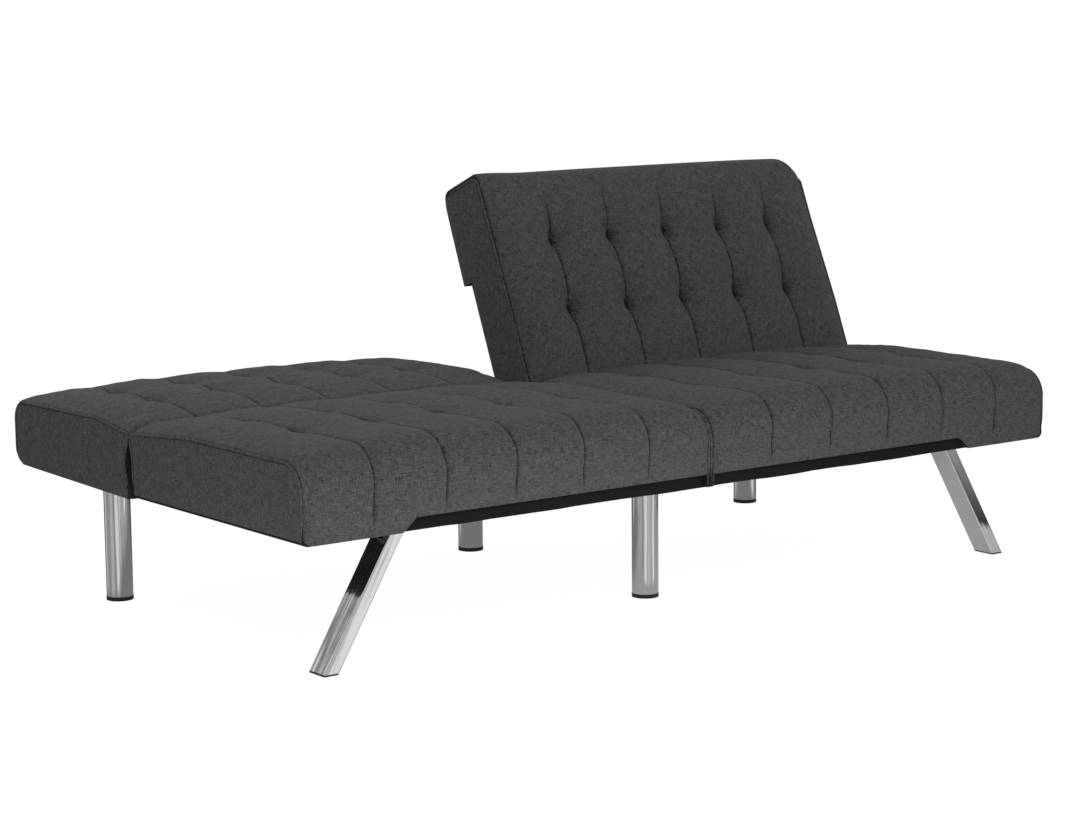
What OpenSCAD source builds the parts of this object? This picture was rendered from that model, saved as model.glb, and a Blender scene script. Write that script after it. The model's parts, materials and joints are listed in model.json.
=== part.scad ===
// Split-back click-clack sofa bed: two seat modules on a timber base, two folding backs,
// six chrome legs. Origin on the floor under the middle, +X to the sitter's left end seen from
// the front as right, +Y to the rear, +Z up. The left back lies flat, the right back is raised.

/* [Overall] */
// Width over both modules
sofa_w = 1740; // [1500:10:1900]
// Depth with a back laid flat, front of seat to rear of back
bed_depth = 1040; // [1020:5:1060]
// Height of the flat part of the seat's top
seat_top = 380; // [375:1:390]
// Gap between the two modules at the middle
module_gap = 2; // [1:0.5:4]

/* [Cushions] */
// Depth of the seat from its front face to the hinge line
seat_depth = 577; // [570:1:585]
// Lowest edge of the seat's cover
seat_underside = 234; // [232:1:236]
// Radius of the seat's front top edge
front_radius = 55; // [30:1:60]
// Width of the full-depth panel at each outer end
end_panel_w = 35; // [30:1:40]
// Thickness of the front skirt that hangs over the base
skirt_t = 10; // [8:0.5:10.4]
// Width of the skirt strip beside the middle gap
middle_strip_w = 7; // [4:1:12]
// How far the back's top surface drops towards its far end
back_top_drop = 6; // [0:1:10]
// Lowest edge of a flat back beside the hinge
back_underside = 231; // [229:1:232]
// How far the back's lower surface rises towards its far end
back_underside_rise = 9; // [7:1:12]
// Radius of the back's far upper edge
back_upper_radius = 40; // [20:1:45]
// Radius of the back's far lower edge
back_lower_radius = 28; // [10:1:35]
// Distance from the hinge line to the step under the back
step_from_hinge = 263; // [255:1:275]

/* [Hinges] */
// Height of the hinge axis
hinge_z = 330; // [325:1:332]
// How far the left back is raised from flat
left_back_angle = 0; // [0:0.5:77]
// How far the right back is raised from flat
right_back_angle = 67.5; // [0:0.5:77]
// Radius of the hinge pin
hinge_pin_r = 5; // [4:0.5:6]
// Radial clearance of a pin that turns in its hole
running_clearance = 0.05; // [0.02:0.01:0.1]
// Thickness of the arm on the seat
seat_arm_t = 3; // [2:0.5:3]
// Thickness of the toothed arm on the back
back_arm_t = 4; // [3:0.5:4]
// Radius of the toothed sector round the hinge pin
sector_r = 18; // [17:0.5:18]
// Raised angles at which the back locks
lock_angles = [0, 22.5, 45, 67.5];

/* [Base] */
// Thickness of the base rails
base_t = 25; // [20:1:25]
// Width of the base rails
base_rail_w = 94; // [88:1:96]
// Half length of the base
base_half_w = 833; // [825:1:834]
// Half width of the black band at its lower edge
band_half_w = 663; // [600:1:700]
// How much shorter the band's upper edge is at each end
band_slant = 28; // [10:1:40]

/* [Legs] */
// Diameter of the round legs
round_leg_d = 50; // [40:1:52]
// Wall of the round legs
round_leg_wall = 1.5; // [1:0.1:2.5]
// Height of the black glide under a round leg
glide_h = 7; // [5:1:10]
// Distance of the outer rear legs from the middle
rear_leg_x = 780; // [760:1:795]
// Distance of the angled legs' feet from the middle
angled_foot_x = 791.5; // [780:0.5:800]
// Lean of the angled legs from upright
angled_lean = 30.9; // [20:0.1:35]
// Width of the angled legs, front to rear
angled_leg_w = 50; // [40:1:52]
// Thickness of the angled legs
angled_leg_t = 25; // [20:1:30]
// Height of the black cap under an angled leg
cap_h = 3; // [2:0.5:5]

/* [Hidden] */
$fn = 48;

linen = "#474a4a";
black_cloth = "#1b1b1c";
timber = "#c9a878";
plywood = "#d8bc8c";
chrome = "#c9ccd0";
zinc = "#a8aaae";
black_plastic = "#161616";

LEFT = -1;
RIGHT = 1;

// places along Y
front_y = -bed_depth/2;
rear_y = bed_depth/2;
hinge_y = front_y + seat_depth;
step_y = hinge_y + step_from_hinge;

// places along X, on the right-hand module
inner_x = module_gap/2;
outer_x = sofa_w/2;
panel_x = outer_x - end_panel_w;

// heights
base_bottom = seat_underside;
base_top = base_bottom + base_t;

// cushions near the hinge: a flat bevel lets the back swing past upright
hinge_clearance = 1;
bevel_run = 42;
panel_corner_r = 8;
notch_top = base_top + 3;

// base
band_t = 1.5;
base_front = front_y + skirt_t + band_t + 0.5;
base_rear = step_y - 2;
cover_t = 0.8;
cross_rail_y = hinge_y - 52;
cross_rail_w = 70;
side_rail_x = base_half_w - base_rail_w;

// frames inside the cushions
rail_t = 25;
seat_rail_h = 32;
seat_rail_top = base_top + seat_rail_h;
slat_t = 9;
slat_w = 60;
slat_count = 7;
first_slat_x = 110;
last_slat_x = 760;
seat_side_inner_x = 26;
seat_side_outer_x = 831;
seat_frame_front = front_y + 24;
seat_frame_rear = hinge_y - 27;
pocket_clear = 2;
arm_gap = 0.5;
back_shift = seat_arm_t + arm_gap;
back_rail_bottom = notch_top + 2;
back_rail_top = back_rail_bottom + 32;
back_frame_front = hinge_y + 18;
back_frame_rear = rear_y - 30;

// hinge mechanism: it stands on a rail's face and grows towards the middle of its module
inner_face_x = seat_side_inner_x + rail_t;
outer_face_x = seat_side_outer_x - rail_t;
pin_head_r = 8;
seat_ear_r = 16;
pawl_pivot = [-12, -31];
pawl_pin_r = 3;
pawl_hub_r = 6.5;
pawl_nose_angle = 195;
tooth_notch_r = 2.5;
spring_wire_r = 0.6;
spring_coil_r = 4.5;
spring_pitch = 1.1;
mech_pocket = 76;
seat_screw_run = [-140, -105, -70];
seat_screw_z = -55;
back_screw_run = [80, 118, 156];
back_screw_z = -50;

// legs
plate_t = 3;
plate_top = base_bottom - cover_t;
leg_top = plate_top - plate_t;
round_plate_r = 30;
leg_disc_t = 4;
stud_r = 4;
stud_clear = 0.1;
stud_below = 14;
stud_above = 22;
rear_leg_y = hinge_y + 220;
centre_rear_leg_y = hinge_y + 176;
centre_front_leg_y = front_y + 189;
angled_leg_y = front_y + 67;
angled_edge_r = 3;
angled_wall = 2;
angled_plate = [100, 68];
angled_screw_pitch = [76, 48];
round_legs = [[0, centre_front_leg_y], [0, centre_rear_leg_y],
    [-rear_leg_x, rear_leg_y], [rear_leg_x, rear_leg_y]];
seat_screw_x = [200, 640];

// points along an arc about c, from angle a0 to a1
function arc(c, r, a0, a1, n = 8) =
    [for (i = [0:n]) let (a = a0 + (a1 - a0)*i/n) c + r*[cos(a), sin(a)]];

// where the middle line of an angled leg is at height z
function angled_x(z) = angled_foot_x - z*tan(angled_lean);

// outline of a seat in the YZ plane, down to the height z0
function seat_outline(z0, rear_r = 0) = concat(
    [[front_y, z0]],
    arc([front_y + front_radius, seat_top - front_radius], front_radius, 180, 90),
    [[hinge_y - hinge_clearance - bevel_run, seat_top], [hinge_y - hinge_clearance, hinge_z]],
    rear_r > 0 ? arc([hinge_y - hinge_clearance - rear_r, z0 + rear_r], rear_r, 0, -90)
        : [[hinge_y - hinge_clearance, z0]]);

// height of a flat back's lower surface at the place y
function back_bottom(y) =
    back_underside + back_underside_rise*(y - hinge_y)/(rear_y - hinge_y);

// outline of a flat back in the YZ plane; a stepped one clears the base
function back_outline(stepped) = concat(
    stepped ? [[hinge_y + hinge_clearance, notch_top]]
        : [[hinge_y + hinge_clearance, back_bottom(hinge_y)]],
    [[hinge_y + hinge_clearance, hinge_z],
        [hinge_y + hinge_clearance + bevel_run, seat_top]],
    arc([rear_y - back_upper_radius, seat_top - back_top_drop - back_upper_radius],
        back_upper_radius, 90, 0),
    arc([rear_y - back_lower_radius, back_bottom(rear_y) + back_lower_radius],
        back_lower_radius, 0, -90),
    stepped ? [[step_y, back_bottom(step_y)], [step_y, notch_top]] : []);

module along_x(x0, x1) translate([x0, 0, 0]) rotate([90, 0, 90]) linear_extrude(x1 - x0) children();
module box(low, high) translate(low) cube(high - low);
module on_side(s) { if (s == RIGHT) children(); else mirror([1, 0, 0]) children(); }
module raised(a) translate([0, hinge_y, hinge_z]) rotate([a, 0, 0])
    translate([0, -hinge_y, -hinge_z]) children();
function back_angle(s) = s == RIGHT ? right_back_angle : left_back_angle;

// both hinges of the right-hand module, drawn on a rail face and grown inwards
module both_hinges() {
    translate([outer_face_x, hinge_y, hinge_z]) mirror([1, 0, 0]) children();
    translate([inner_face_x, hinge_y, hinge_z]) children();
}

// hollow in a cushion round the hinges; dir is -1 on the seat and 1 on the back
module hinge_hollows(dir) both_hinges()
    translate([-6, dir > 0 ? -1 : -mech_pocket, base_top - hinge_z])
        cube([22, mech_pocket + 1, hinge_z - base_top + sector_r + 4]);

/* ---------- cushions ---------- */

module seat_skirt() {
    translate([0, front_y + skirt_t, 0]) rotate([90, 0, 0]) linear_extrude(skirt_t) {
        polygon([[band_half_w, seat_underside], [outer_x, seat_underside],
            [outer_x, base_top + 1], [band_half_w - band_slant, base_top + 1],
            [band_half_w - band_slant, base_top]]);
        translate([inner_x, seat_underside]) square([middle_strip_w, base_t + 1]);
    }
}

module seat_cushion(s) color(linen) on_side(s) {
    difference() {
        union() {
            along_x(inner_x, panel_x) polygon(seat_outline(base_top));
            along_x(panel_x, outer_x) polygon(seat_outline(seat_underside, panel_corner_r));
            seat_skirt();
        }
        box([seat_side_inner_x - pocket_clear, seat_frame_front - pocket_clear, base_top - 1],
            [seat_side_outer_x + pocket_clear, seat_frame_rear + pocket_clear,
                seat_rail_top + slat_t]);
        hinge_hollows(-1);
    }
}

module back_cushion(s) color(linen) raised(back_angle(s)) on_side(s) {
    difference() {
        union() {
            along_x(inner_x, panel_x) polygon(back_outline(true));
            along_x(panel_x, outer_x) polygon(back_outline(false));
        }
        box([seat_side_inner_x - pocket_clear, back_frame_front - pocket_clear, back_rail_bottom],
            [seat_side_outer_x + pocket_clear, back_frame_rear + pocket_clear,
                back_rail_top + slat_t]);
        box([seat_side_inner_x - pocket_clear, back_frame_front - pocket_clear, notch_top - 1],
            [seat_side_outer_x + pocket_clear, step_y - 20, back_rail_bottom + 1]);
        hinge_hollows(1);
    }
}

/* ---------- timber inside the modules ---------- */

module seat_front_rail(s) color(timber) on_side(s)
    box([inner_face_x, seat_frame_front, base_top],
        [outer_face_x, seat_frame_front + rail_t, seat_rail_top]);

module seat_rear_rail(s) color(timber) on_side(s)
    box([inner_face_x + 12, seat_frame_rear - rail_t, base_top],
        [outer_face_x - 12, seat_frame_rear, seat_rail_top]);

module seat_side_rails(s) color(timber) on_side(s)
    for (x = [seat_side_inner_x, outer_face_x])
        box([x, seat_frame_front, base_top], [x + rail_t, seat_frame_rear, seat_rail_top]);

module slats(y0, y1, z) for (i = [0:slat_count - 1]) {
    x = first_slat_x + (last_slat_x - first_slat_x)*i/(slat_count - 1);
    box([x - slat_w/2, y0, z], [x + slat_w/2, y1, z + slat_t]);
}

module seat_slats(s) color(plywood) on_side(s)
    slats(seat_frame_front, seat_frame_rear, seat_rail_top);

module back_top_rail(s) color(timber) raised(back_angle(s)) on_side(s)
    box([inner_face_x + back_shift, back_frame_rear - rail_t, back_rail_bottom],
        [outer_face_x - back_shift, back_frame_rear, back_rail_top]);

module back_bottom_rail(s) color(timber) raised(back_angle(s)) on_side(s)
    box([inner_face_x + 15, back_frame_front + 20, back_rail_bottom],
        [outer_face_x - 15, back_frame_front + 20 + rail_t, back_rail_top]);

module back_stiles(s) color(timber) raised(back_angle(s)) on_side(s)
    for (x = [seat_side_inner_x + back_shift, outer_face_x - back_shift])
        box([x, back_frame_front, back_rail_bottom], [x + rail_t, back_frame_rear, back_rail_top]);

module back_slats(s) color(plywood) raised(back_angle(s)) on_side(s)
    slats(back_frame_front + 20, back_frame_rear, back_rail_top);

module back_dust_cover(s) color(black_cloth) raised(back_angle(s)) on_side(s)
    box([inner_x + 2, hinge_y + 3, notch_top - cover_t], [panel_x - 1, step_y - 1, notch_top]);

/* ---------- click-clack hinges, drawn about the hinge axis ---------- */

module hinge_seat_arms(s) color(zinc) on_side(s) both_hinges()
    along_x(0, seat_arm_t) difference() {
        union() {
            circle(seat_ear_r);
            polygon([[-seat_ear_r, 0], [14, -8], [2, -68], [-150, -68], [-150, -42], [-45, -42]]);
        }
        circle(hinge_pin_r);
        translate(pawl_pivot) circle(pawl_pin_r);
        for (y = seat_screw_run) translate([y, seat_screw_z]) circle(2.6);
    }

module hinge_back_arms(s) color(zinc) raised(back_angle(s)) on_side(s) both_hinges()
    along_x(back_shift, back_shift + back_arm_t) difference() {
        union() {
            circle(sector_r);
            polygon([[-10, -14.5], [10, 14], [60, -36], [170, -36], [170, -62], [20, -62]]);
        }
        circle(hinge_pin_r + running_clearance);
        for (a = lock_angles)
            rotate(pawl_nose_angle - a) translate([sector_r, 0]) circle(tooth_notch_r);
        for (y = back_screw_run) translate([y, back_screw_z]) circle(2.6);
    }

module hinge_pins() color(zinc) for (s = [LEFT, RIGHT]) on_side(s) both_hinges()
    rotate([0, 90, 0]) {
        translate([0, 0, -3]) cylinder(r = pin_head_r, h = 3);
        translate([0, 0, -1]) cylinder(r = hinge_pin_r, h = back_shift + back_arm_t + 2);
        translate([0, 0, back_shift + back_arm_t + 0.5]) cylinder(r = pin_head_r, h = 3);
    }

module pawls(s) color("#8a8c90") on_side(s) both_hinges()
    along_x(back_shift, back_shift + back_arm_t) difference() {
        union() {
            translate(pawl_pivot) circle(pawl_hub_r);
            polygon([[-18.2, -33], [-26, -8], [-24, -3], [-17.9, -4.8], [-20.6, -9], [-9, -26]]);
        }
        translate(pawl_pivot) circle(pawl_pin_r + running_clearance);
    }

module at_pawl() both_hinges() translate([0, pawl_pivot.x, pawl_pivot.y]) rotate([0, 90, 0])
    children();

module pawl_pins() color(zinc) for (s = [LEFT, RIGHT]) on_side(s) at_pawl() {
    cylinder(r = pawl_pin_r, h = back_shift + back_arm_t + 5);
    translate([0, 0, back_shift + back_arm_t + 5]) cylinder(r = pawl_pin_r + 2.5, h = 1.5);
}

// the closed turns of each spring, one against the next
module pawl_springs() color(zinc) for (s = [LEFT, RIGHT]) on_side(s) at_pawl()
    translate([0, 0, back_shift + back_arm_t + 1.1]) rotate_extrude()
        for (i = [0:2]) translate([spring_coil_r, i*spring_pitch]) circle(spring_wire_r, $fn = 16);

// a wood screw along +Z with its head below the origin
module wood_screw(l, r = 2.5, head_r = 4.5, head_h = 2.2) {
    translate([0, 0, -head_h]) cylinder(r = head_r, h = head_h);
    cylinder(r = r, h = l);
}

module seat_hinge_screws() color(zinc) for (s = [LEFT, RIGHT]) on_side(s) both_hinges()
    for (y = seat_screw_run)
        translate([seat_arm_t, y, seat_screw_z]) rotate([0, -90, 0]) wood_screw(20);

module back_hinge_screws(s) color(zinc) raised(back_angle(s)) on_side(s) both_hinges()
    for (y = back_screw_run)
        translate([back_shift + back_arm_t, y, back_screw_z]) rotate([0, -90, 0]) wood_screw(20);

/* ---------- base ---------- */

module base_rail(low, high) color(timber) box([low.x, low.y, base_bottom], [high.x, high.y, base_top]);

module base_front_rail()
    base_rail([-base_half_w, base_front], [base_half_w, base_front + base_rail_w]);

module base_rear_rail()
    base_rail([-base_half_w, base_rear - base_rail_w], [base_half_w, base_rear]);

module base_side_rail(s) on_side(s)
    base_rail([side_rail_x, base_front + base_rail_w], [base_half_w, base_rear - base_rail_w]);

module base_centre_rail() base_rail([-base_rail_w/2, base_front + base_rail_w],
    [base_rail_w/2, base_rear - base_rail_w]);

module base_cross_rails() for (s = [LEFT, RIGHT]) on_side(s)
    base_rail([base_rail_w/2, cross_rail_y], [side_rail_x, cross_rail_y + cross_rail_w]);

module base_dust_cover() color(black_cloth)
    box([-base_half_w, base_front, base_bottom - cover_t], [base_half_w, base_rear, base_bottom]);

// cloth over the part of the base that shows behind a raised back
module base_rear_cover() color(black_cloth) {
    w = base_half_w + cover_t;
    box([-w, hinge_y + 2, base_top], [w, base_rear + cover_t, base_top + cover_t]);
    box([-w, base_rear, base_bottom - cover_t], [w, base_rear + cover_t, base_top + cover_t]);
    for (x = [-w, base_half_w])
        box([x, hinge_y + 2, base_bottom - cover_t],
            [x + cover_t, base_rear + cover_t, base_top + cover_t]);
}

module front_band() color(black_cloth) translate([0, base_front, 0]) rotate([90, 0, 0])
    linear_extrude(band_t) polygon([[-band_half_w, base_bottom], [band_half_w, base_bottom],
        [band_half_w - band_slant, base_top], [-band_half_w + band_slant, base_top]]);

module seat_fixing_screws() color(zinc) for (s = [LEFT, RIGHT], x = seat_screw_x,
        y = [seat_frame_front + rail_t/2, seat_frame_rear - rail_t/2]) on_side(s)
    translate([x, y, base_bottom + 5]) {
        cylinder(r = 3, h = 40);
        cylinder(r = 6, h = 3);
    }

/* ---------- legs ---------- */

module round_leg(p) color(chrome) translate([p.x, p.y, 0]) difference() {
    translate([0, 0, glide_h]) cylinder(d = round_leg_d, h = leg_top - glide_h, $fn = 96);
    translate([0, 0, glide_h - 1])
        cylinder(d = round_leg_d - 2*round_leg_wall, h = leg_top - leg_disc_t - glide_h + 1, $fn = 96);
    cylinder(r = stud_r + stud_clear, h = leg_top + 1);
}

module leg_section(inset) {
    w = [angled_leg_t - 2*inset, angled_leg_w - 2*inset];
    r = angled_edge_r - inset;
    square([w.x - 2*r, w.y], center = true);
    square([w.x, w.y - 2*r], center = true);
    for (i = [-1, 1], j = [-1, 1]) translate([i*(w.x/2 - r), j*(w.y/2 - r)]) circle(r, $fn = 24);
}

module angled_run(z0, z1) intersection() {
    translate([angled_foot_x, angled_leg_y, 0]) rotate([0, -angled_lean, 0])
        translate([0, 0, -60]) linear_extrude(420) children();
    box([0, front_y, z0], [outer_x, 0, z1]);
}

module angled_leg(s) color(chrome) on_side(s) difference() {
    angled_run(cap_h, leg_top) leg_section(0);
    angled_run(cap_h - 1, leg_top + 1) leg_section(angled_wall);
}

module angled_leg_caps() color(black_plastic) for (s = [LEFT, RIGHT]) on_side(s)
    angled_run(0, cap_h) leg_section(0);

module leg_glides() color(black_plastic) for (p = round_legs) translate([p.x, p.y, 0]) {
    cylinder(d = round_leg_d + 1, h = glide_h, $fn = 96);
    translate([0, 0, glide_h]) cylinder(d = round_leg_d - 2*round_leg_wall - 0.4, h = 14, $fn = 96);
}

module round_leg_plates() color(zinc) for (p = round_legs) translate([p.x, p.y, leg_top])
    difference() {
        cylinder(r = round_plate_r, h = plate_t, $fn = 96);
        translate([0, 0, -1]) cylinder(r = stud_r + stud_clear, h = plate_t + 2);
    }

// the four corners of an angled leg's screw pattern, at the height of the leg's top
module angled_plate_corners() for (i = [-1, 1], j = [-1, 1])
    translate([angled_x(leg_top) + i*angled_screw_pitch.x/2,
        angled_leg_y + j*angled_screw_pitch.y/2, leg_top]) children();

module angled_leg_plates() color(zinc) for (s = [LEFT, RIGHT]) on_side(s) difference() {
    translate([angled_x(leg_top), angled_leg_y, leg_top + plate_t/2])
        cube([angled_plate.x, angled_plate.y, plate_t], center = true);
    angled_plate_corners() translate([0, 0, -1]) cylinder(r = 2.6, h = plate_t + 2);
}

module leg_studs() color(zinc) for (p = round_legs)
    translate([p.x, p.y, leg_top - stud_below]) cylinder(r = stud_r, h = stud_below + plate_t + stud_above);

module angled_leg_screws() color(zinc) for (s = [LEFT, RIGHT]) on_side(s)
    angled_plate_corners() wood_screw(24);

/* ---------- nodes ---------- */

base_front_rail();
base_rear_rail();
base_side_rail(LEFT);  // base_left_rail
base_side_rail(RIGHT);  // base_right_rail
base_centre_rail();
base_cross_rails();
base_dust_cover();
base_rear_cover();
front_band();
angled_leg(LEFT);  // left_front_leg
angled_leg(RIGHT);  // right_front_leg
round_leg(round_legs[0]);  // centre_front_leg
round_leg(round_legs[1]);  // centre_rear_leg
round_leg(round_legs[2]);  // left_rear_leg
round_leg(round_legs[3]);  // right_rear_leg
round_leg_plates();
angled_leg_plates();
leg_glides();
angled_leg_caps();
leg_studs();
angled_leg_screws();
seat_cushion(LEFT);  // left_seat_cushion
seat_front_rail(LEFT);  // left_seat_front_rail
seat_rear_rail(LEFT);  // left_seat_rear_rail
seat_side_rails(LEFT);  // left_seat_side_rails
seat_slats(LEFT);  // left_seat_slats
seat_cushion(RIGHT);  // right_seat_cushion
seat_front_rail(RIGHT);  // right_seat_front_rail
seat_rear_rail(RIGHT);  // right_seat_rear_rail
seat_side_rails(RIGHT);  // right_seat_side_rails
seat_slats(RIGHT);  // right_seat_slats
seat_fixing_screws();
hinge_seat_arms(LEFT);  // left_hinge_seat_arms
hinge_seat_arms(RIGHT);  // right_hinge_seat_arms
hinge_pins();
pawl_pins();
pawl_springs();
seat_hinge_screws();
back_cushion(LEFT);  // left_back_cushion
back_top_rail(LEFT);  // left_back_top_rail
back_bottom_rail(LEFT);  // left_back_bottom_rail
back_stiles(LEFT);  // left_back_stiles
back_slats(LEFT);  // left_back_slats
back_dust_cover(LEFT);  // left_back_dust_cover
hinge_back_arms(LEFT);  // left_hinge_back_arms
back_hinge_screws(LEFT);  // left_back_hinge_screws
back_cushion(RIGHT);  // right_back_cushion
back_top_rail(RIGHT);  // right_back_top_rail
back_bottom_rail(RIGHT);  // right_back_bottom_rail
back_stiles(RIGHT);  // right_back_stiles
back_slats(RIGHT);  // right_back_slats
back_dust_cover(RIGHT);  // right_back_dust_cover
hinge_back_arms(RIGHT);  // right_hinge_back_arms
back_hinge_screws(RIGHT);  // right_back_hinge_screws
pawls(LEFT);  // left_pawls
pawls(RIGHT);  // right_pawls
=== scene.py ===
"""Split-back click-clack sofa bed: quilted covers, welts, chrome legs and a plain studio round the frame.

Sizes are in millimetres until a mesh is made: +X to the right seen from the front, +Y to the rear, +Z up,
with the floor at zero. Each module is drawn as the right-hand one, and mirrored for the left.
"""
import json
import logging
import math
from dataclasses import dataclass
from enum import Enum
from typing import Any, Optional, Sequence
import bpy
import numpy as np
from mathutils import Matrix, Vector


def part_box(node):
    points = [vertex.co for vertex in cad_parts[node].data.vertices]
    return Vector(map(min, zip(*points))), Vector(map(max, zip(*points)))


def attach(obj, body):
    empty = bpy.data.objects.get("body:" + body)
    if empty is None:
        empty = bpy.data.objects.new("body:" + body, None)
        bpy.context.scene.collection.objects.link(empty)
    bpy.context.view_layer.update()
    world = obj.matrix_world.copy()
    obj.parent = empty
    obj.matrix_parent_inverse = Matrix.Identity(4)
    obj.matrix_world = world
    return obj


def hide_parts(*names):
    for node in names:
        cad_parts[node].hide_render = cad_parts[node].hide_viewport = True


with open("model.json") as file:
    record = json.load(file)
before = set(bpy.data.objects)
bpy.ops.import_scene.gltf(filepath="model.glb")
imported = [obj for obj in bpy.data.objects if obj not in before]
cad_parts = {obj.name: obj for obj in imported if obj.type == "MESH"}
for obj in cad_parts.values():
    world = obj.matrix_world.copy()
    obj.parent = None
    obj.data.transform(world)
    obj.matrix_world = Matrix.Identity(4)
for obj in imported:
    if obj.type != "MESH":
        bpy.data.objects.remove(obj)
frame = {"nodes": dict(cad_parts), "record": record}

LOG = logging.getLogger("sofa_bed")
MM = 0.001
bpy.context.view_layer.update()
HINGE_Y, HINGE_Z = 57.0, 330.0
CLOTH_FRAMES = 20
SKIN_X = 834.7  # the base's outer face: a cushion hangs down beside the base past this x


class Side(Enum):
    """Which module a piece belongs to; the value is the sign of its X."""

    LEFT = -1
    RIGHT = 1


class Slot(Enum):
    """The record's material slots."""

    TIMBER = "timber"
    BLACK_CLOTH = "black_cloth"
    CHROME = "chrome"
    ZINC = "zinc_steel"
    PLASTIC = "black_plastic"
    LINEN = "linen"
    PLYWOOD = "plywood"
    SPRING = "spring_steel"


# ---------------------------------------------------------------- small helpers


def linear(colour: str) -> tuple[float, float, float, float]:
    """Turns an sRGB hex colour into linear RGBA.

    Args:
        colour: Six hex digits after a hash.

    Returns:
        Linear red, green and blue, and an alpha of one.
    """
    parts = [int(colour[i : i + 2], 16) / 255 for i in (1, 3, 5)]
    red, green, blue = (c / 12.92 if c <= 0.04045 else ((c + 0.055) / 1.055) ** 2.4 for c in parts)
    return (red, green, blue, 1.0)


def add_node(tree: bpy.types.NodeTree, kind: str, settings: Optional[dict[Any, Any]] = None,
             links: Optional[dict[Any, Any]] = None) -> bpy.types.Node:
    """Adds a node, sets it up and links its inputs.

    Args:
        tree: The node tree.
        kind: The node's type name, less its leading "ShaderNode".
        settings: Lower-case keys are properties, and "stops" fills a ramp; other keys are inputs.
        links: The output socket that feeds each input.

    Returns:
        The new node.
    """
    node = tree.nodes.new(f"ShaderNode{kind}")
    set_node(tree, node, settings or {}, links or {})
    return node


def set_node(tree: bpy.types.NodeTree, node: bpy.types.Node, settings: dict[Any, Any],
             links: dict[Any, Any]) -> None:
    """Gives a node its settings and links, as add_node does.

    Args:
        tree: The node tree.
        node: The node.
        settings: As for add_node.
        links: As for add_node.
    """
    for key, value in settings.items():
        if key == "stops":
            elements = node.color_ramp.elements
            while len(elements) < len(value):
                elements.new(0.5)
            for stop, (place, colour) in zip(elements, value):
                stop.position = place
                stop.color = colour
        elif isinstance(key, str) and key.islower():
            setattr(node, key, value)
        else:
            node.inputs[key].default_value = value
    for key, socket in links.items():
        tree.links.new(socket, node.inputs[key])


def ramp(value: np.ndarray, start: float, end: float) -> np.ndarray:
    """Smooth step: 0 up to start, 1 from end on, and 3t^2 - 2t^3 between; start may be the larger."""
    t = np.clip((value - start) / (end - start), 0.0, 1.0)
    return t * t * (3.0 - 2.0 * t)


def bell(distance: np.ndarray, width: float) -> np.ndarray:
    """Gaussian bump: exp(-(distance/width)^2)."""
    return np.exp(-np.square(distance / width))


def arc_drop(reach: np.ndarray, radius: float) -> np.ndarray:
    """How far a circle's arc falls back at a distance from its crest: r - sqrt(r^2 - d^2)."""
    return radius - np.sqrt(radius**2 - np.square(reach))


def waves(x: np.ndarray, y: np.ndarray, length: float, seed: int, count: int = 14) -> np.ndarray:
    """Seeded ripples: the mean of sine waves with random directions and with lengths near the one given.

    Args:
        x: First coordinate.
        y: Second coordinate.
        length: Middle wavelength.
        seed: Seed of the random draws.
        count: How many waves are added.

    Returns:
        Heights of about -1 to 1.
    """
    draw = np.random.default_rng(seed)
    angle = draw.uniform(0, math.pi, count)
    number = 2 * math.pi / (length * draw.uniform(0.6, 1.6, count))
    phase = draw.uniform(0, 2 * math.pi, count)
    shape = (count,) + (1,) * np.broadcast(x, y).ndim
    run = np.cos(angle).reshape(shape) * x + np.sin(angle).reshape(shape) * y
    return np.sin(number.reshape(shape) * run + phase.reshape(shape)).sum(0) / math.sqrt(count)


def rounded_path(corners: Sequence[tuple[float, float]],
                 radii: Sequence[float]) -> tuple[np.ndarray, list[float]]:
    """A dense line through corners, each inner one turned into an arc of its radius.

    Args:
        corners: The points of the line.
        radii: Radius at each inner corner.

    Returns:
        The points, and the length along the line at the middle of each arc.
    """
    c = np.array(corners, float)
    points, middles = [c[:1]], []
    for k, radius in enumerate(radii, 1):
        a = (c[k - 1] - c[k]) / np.linalg.norm(c[k - 1] - c[k])
        b = (c[k + 1] - c[k]) / np.linalg.norm(c[k + 1] - c[k])
        half = math.acos(float(np.clip(a @ b, -1, 1))) / 2
        centre = c[k] + (a + b) / np.linalg.norm(a + b) * radius / math.sin(half)
        start = c[k] + a * radius / math.tan(half) - centre
        end = c[k] + b * radius / math.tan(half) - centre
        t = np.linspace(0, 1, 41)[:, None]
        sweep = math.pi - 2 * half
        arc = (np.sin((1 - t) * sweep) * start + np.sin(t * sweep) * end) / math.sin(sweep)
        points.append(centre + arc)
        middles.append(sum(len(p) for p in points) - 21)
    points.append(c[-1:])
    line = np.concatenate(points)
    run = lengths(line)
    return line, [float(run[m]) for m in middles]


def box_mm(node: str) -> tuple[Vector, Vector]:
    """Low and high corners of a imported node's box in millimetres."""
    low, high = (corner * 1000 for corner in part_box(node))
    return low, high


def lengths(line: np.ndarray) -> np.ndarray:
    """Length along a line of points, from its first point."""
    return np.concatenate([[0.0], np.cumsum(np.linalg.norm(np.diff(line, axis=0), axis=1))])


def at_lengths(line: np.ndarray, where: np.ndarray) -> np.ndarray:
    """Points at the given lengths along a line."""
    run = lengths(line)
    return np.stack([np.interp(where, run, line[:, k]) for k in range(line.shape[1])], axis=-1)


def spread(coarse: np.ndarray, fine: np.ndarray) -> np.ndarray:
    """Weights that carry values from coarse stations to fine ones.

    Each fine value is the mean of the coarse ones under a bell as wide as their spacing.

    Args:
        coarse: Places of the known values.
        fine: Places of the wanted values.

    Returns:
        A matrix of fine rows and coarse columns whose rows add up to one.
    """
    width = 0.75 * np.gradient(coarse)
    weight = np.exp(-np.square((fine[:, None] - coarse[None, :]) / width[None, :]))
    return weight / weight.sum(1, keepdims=True)


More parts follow.
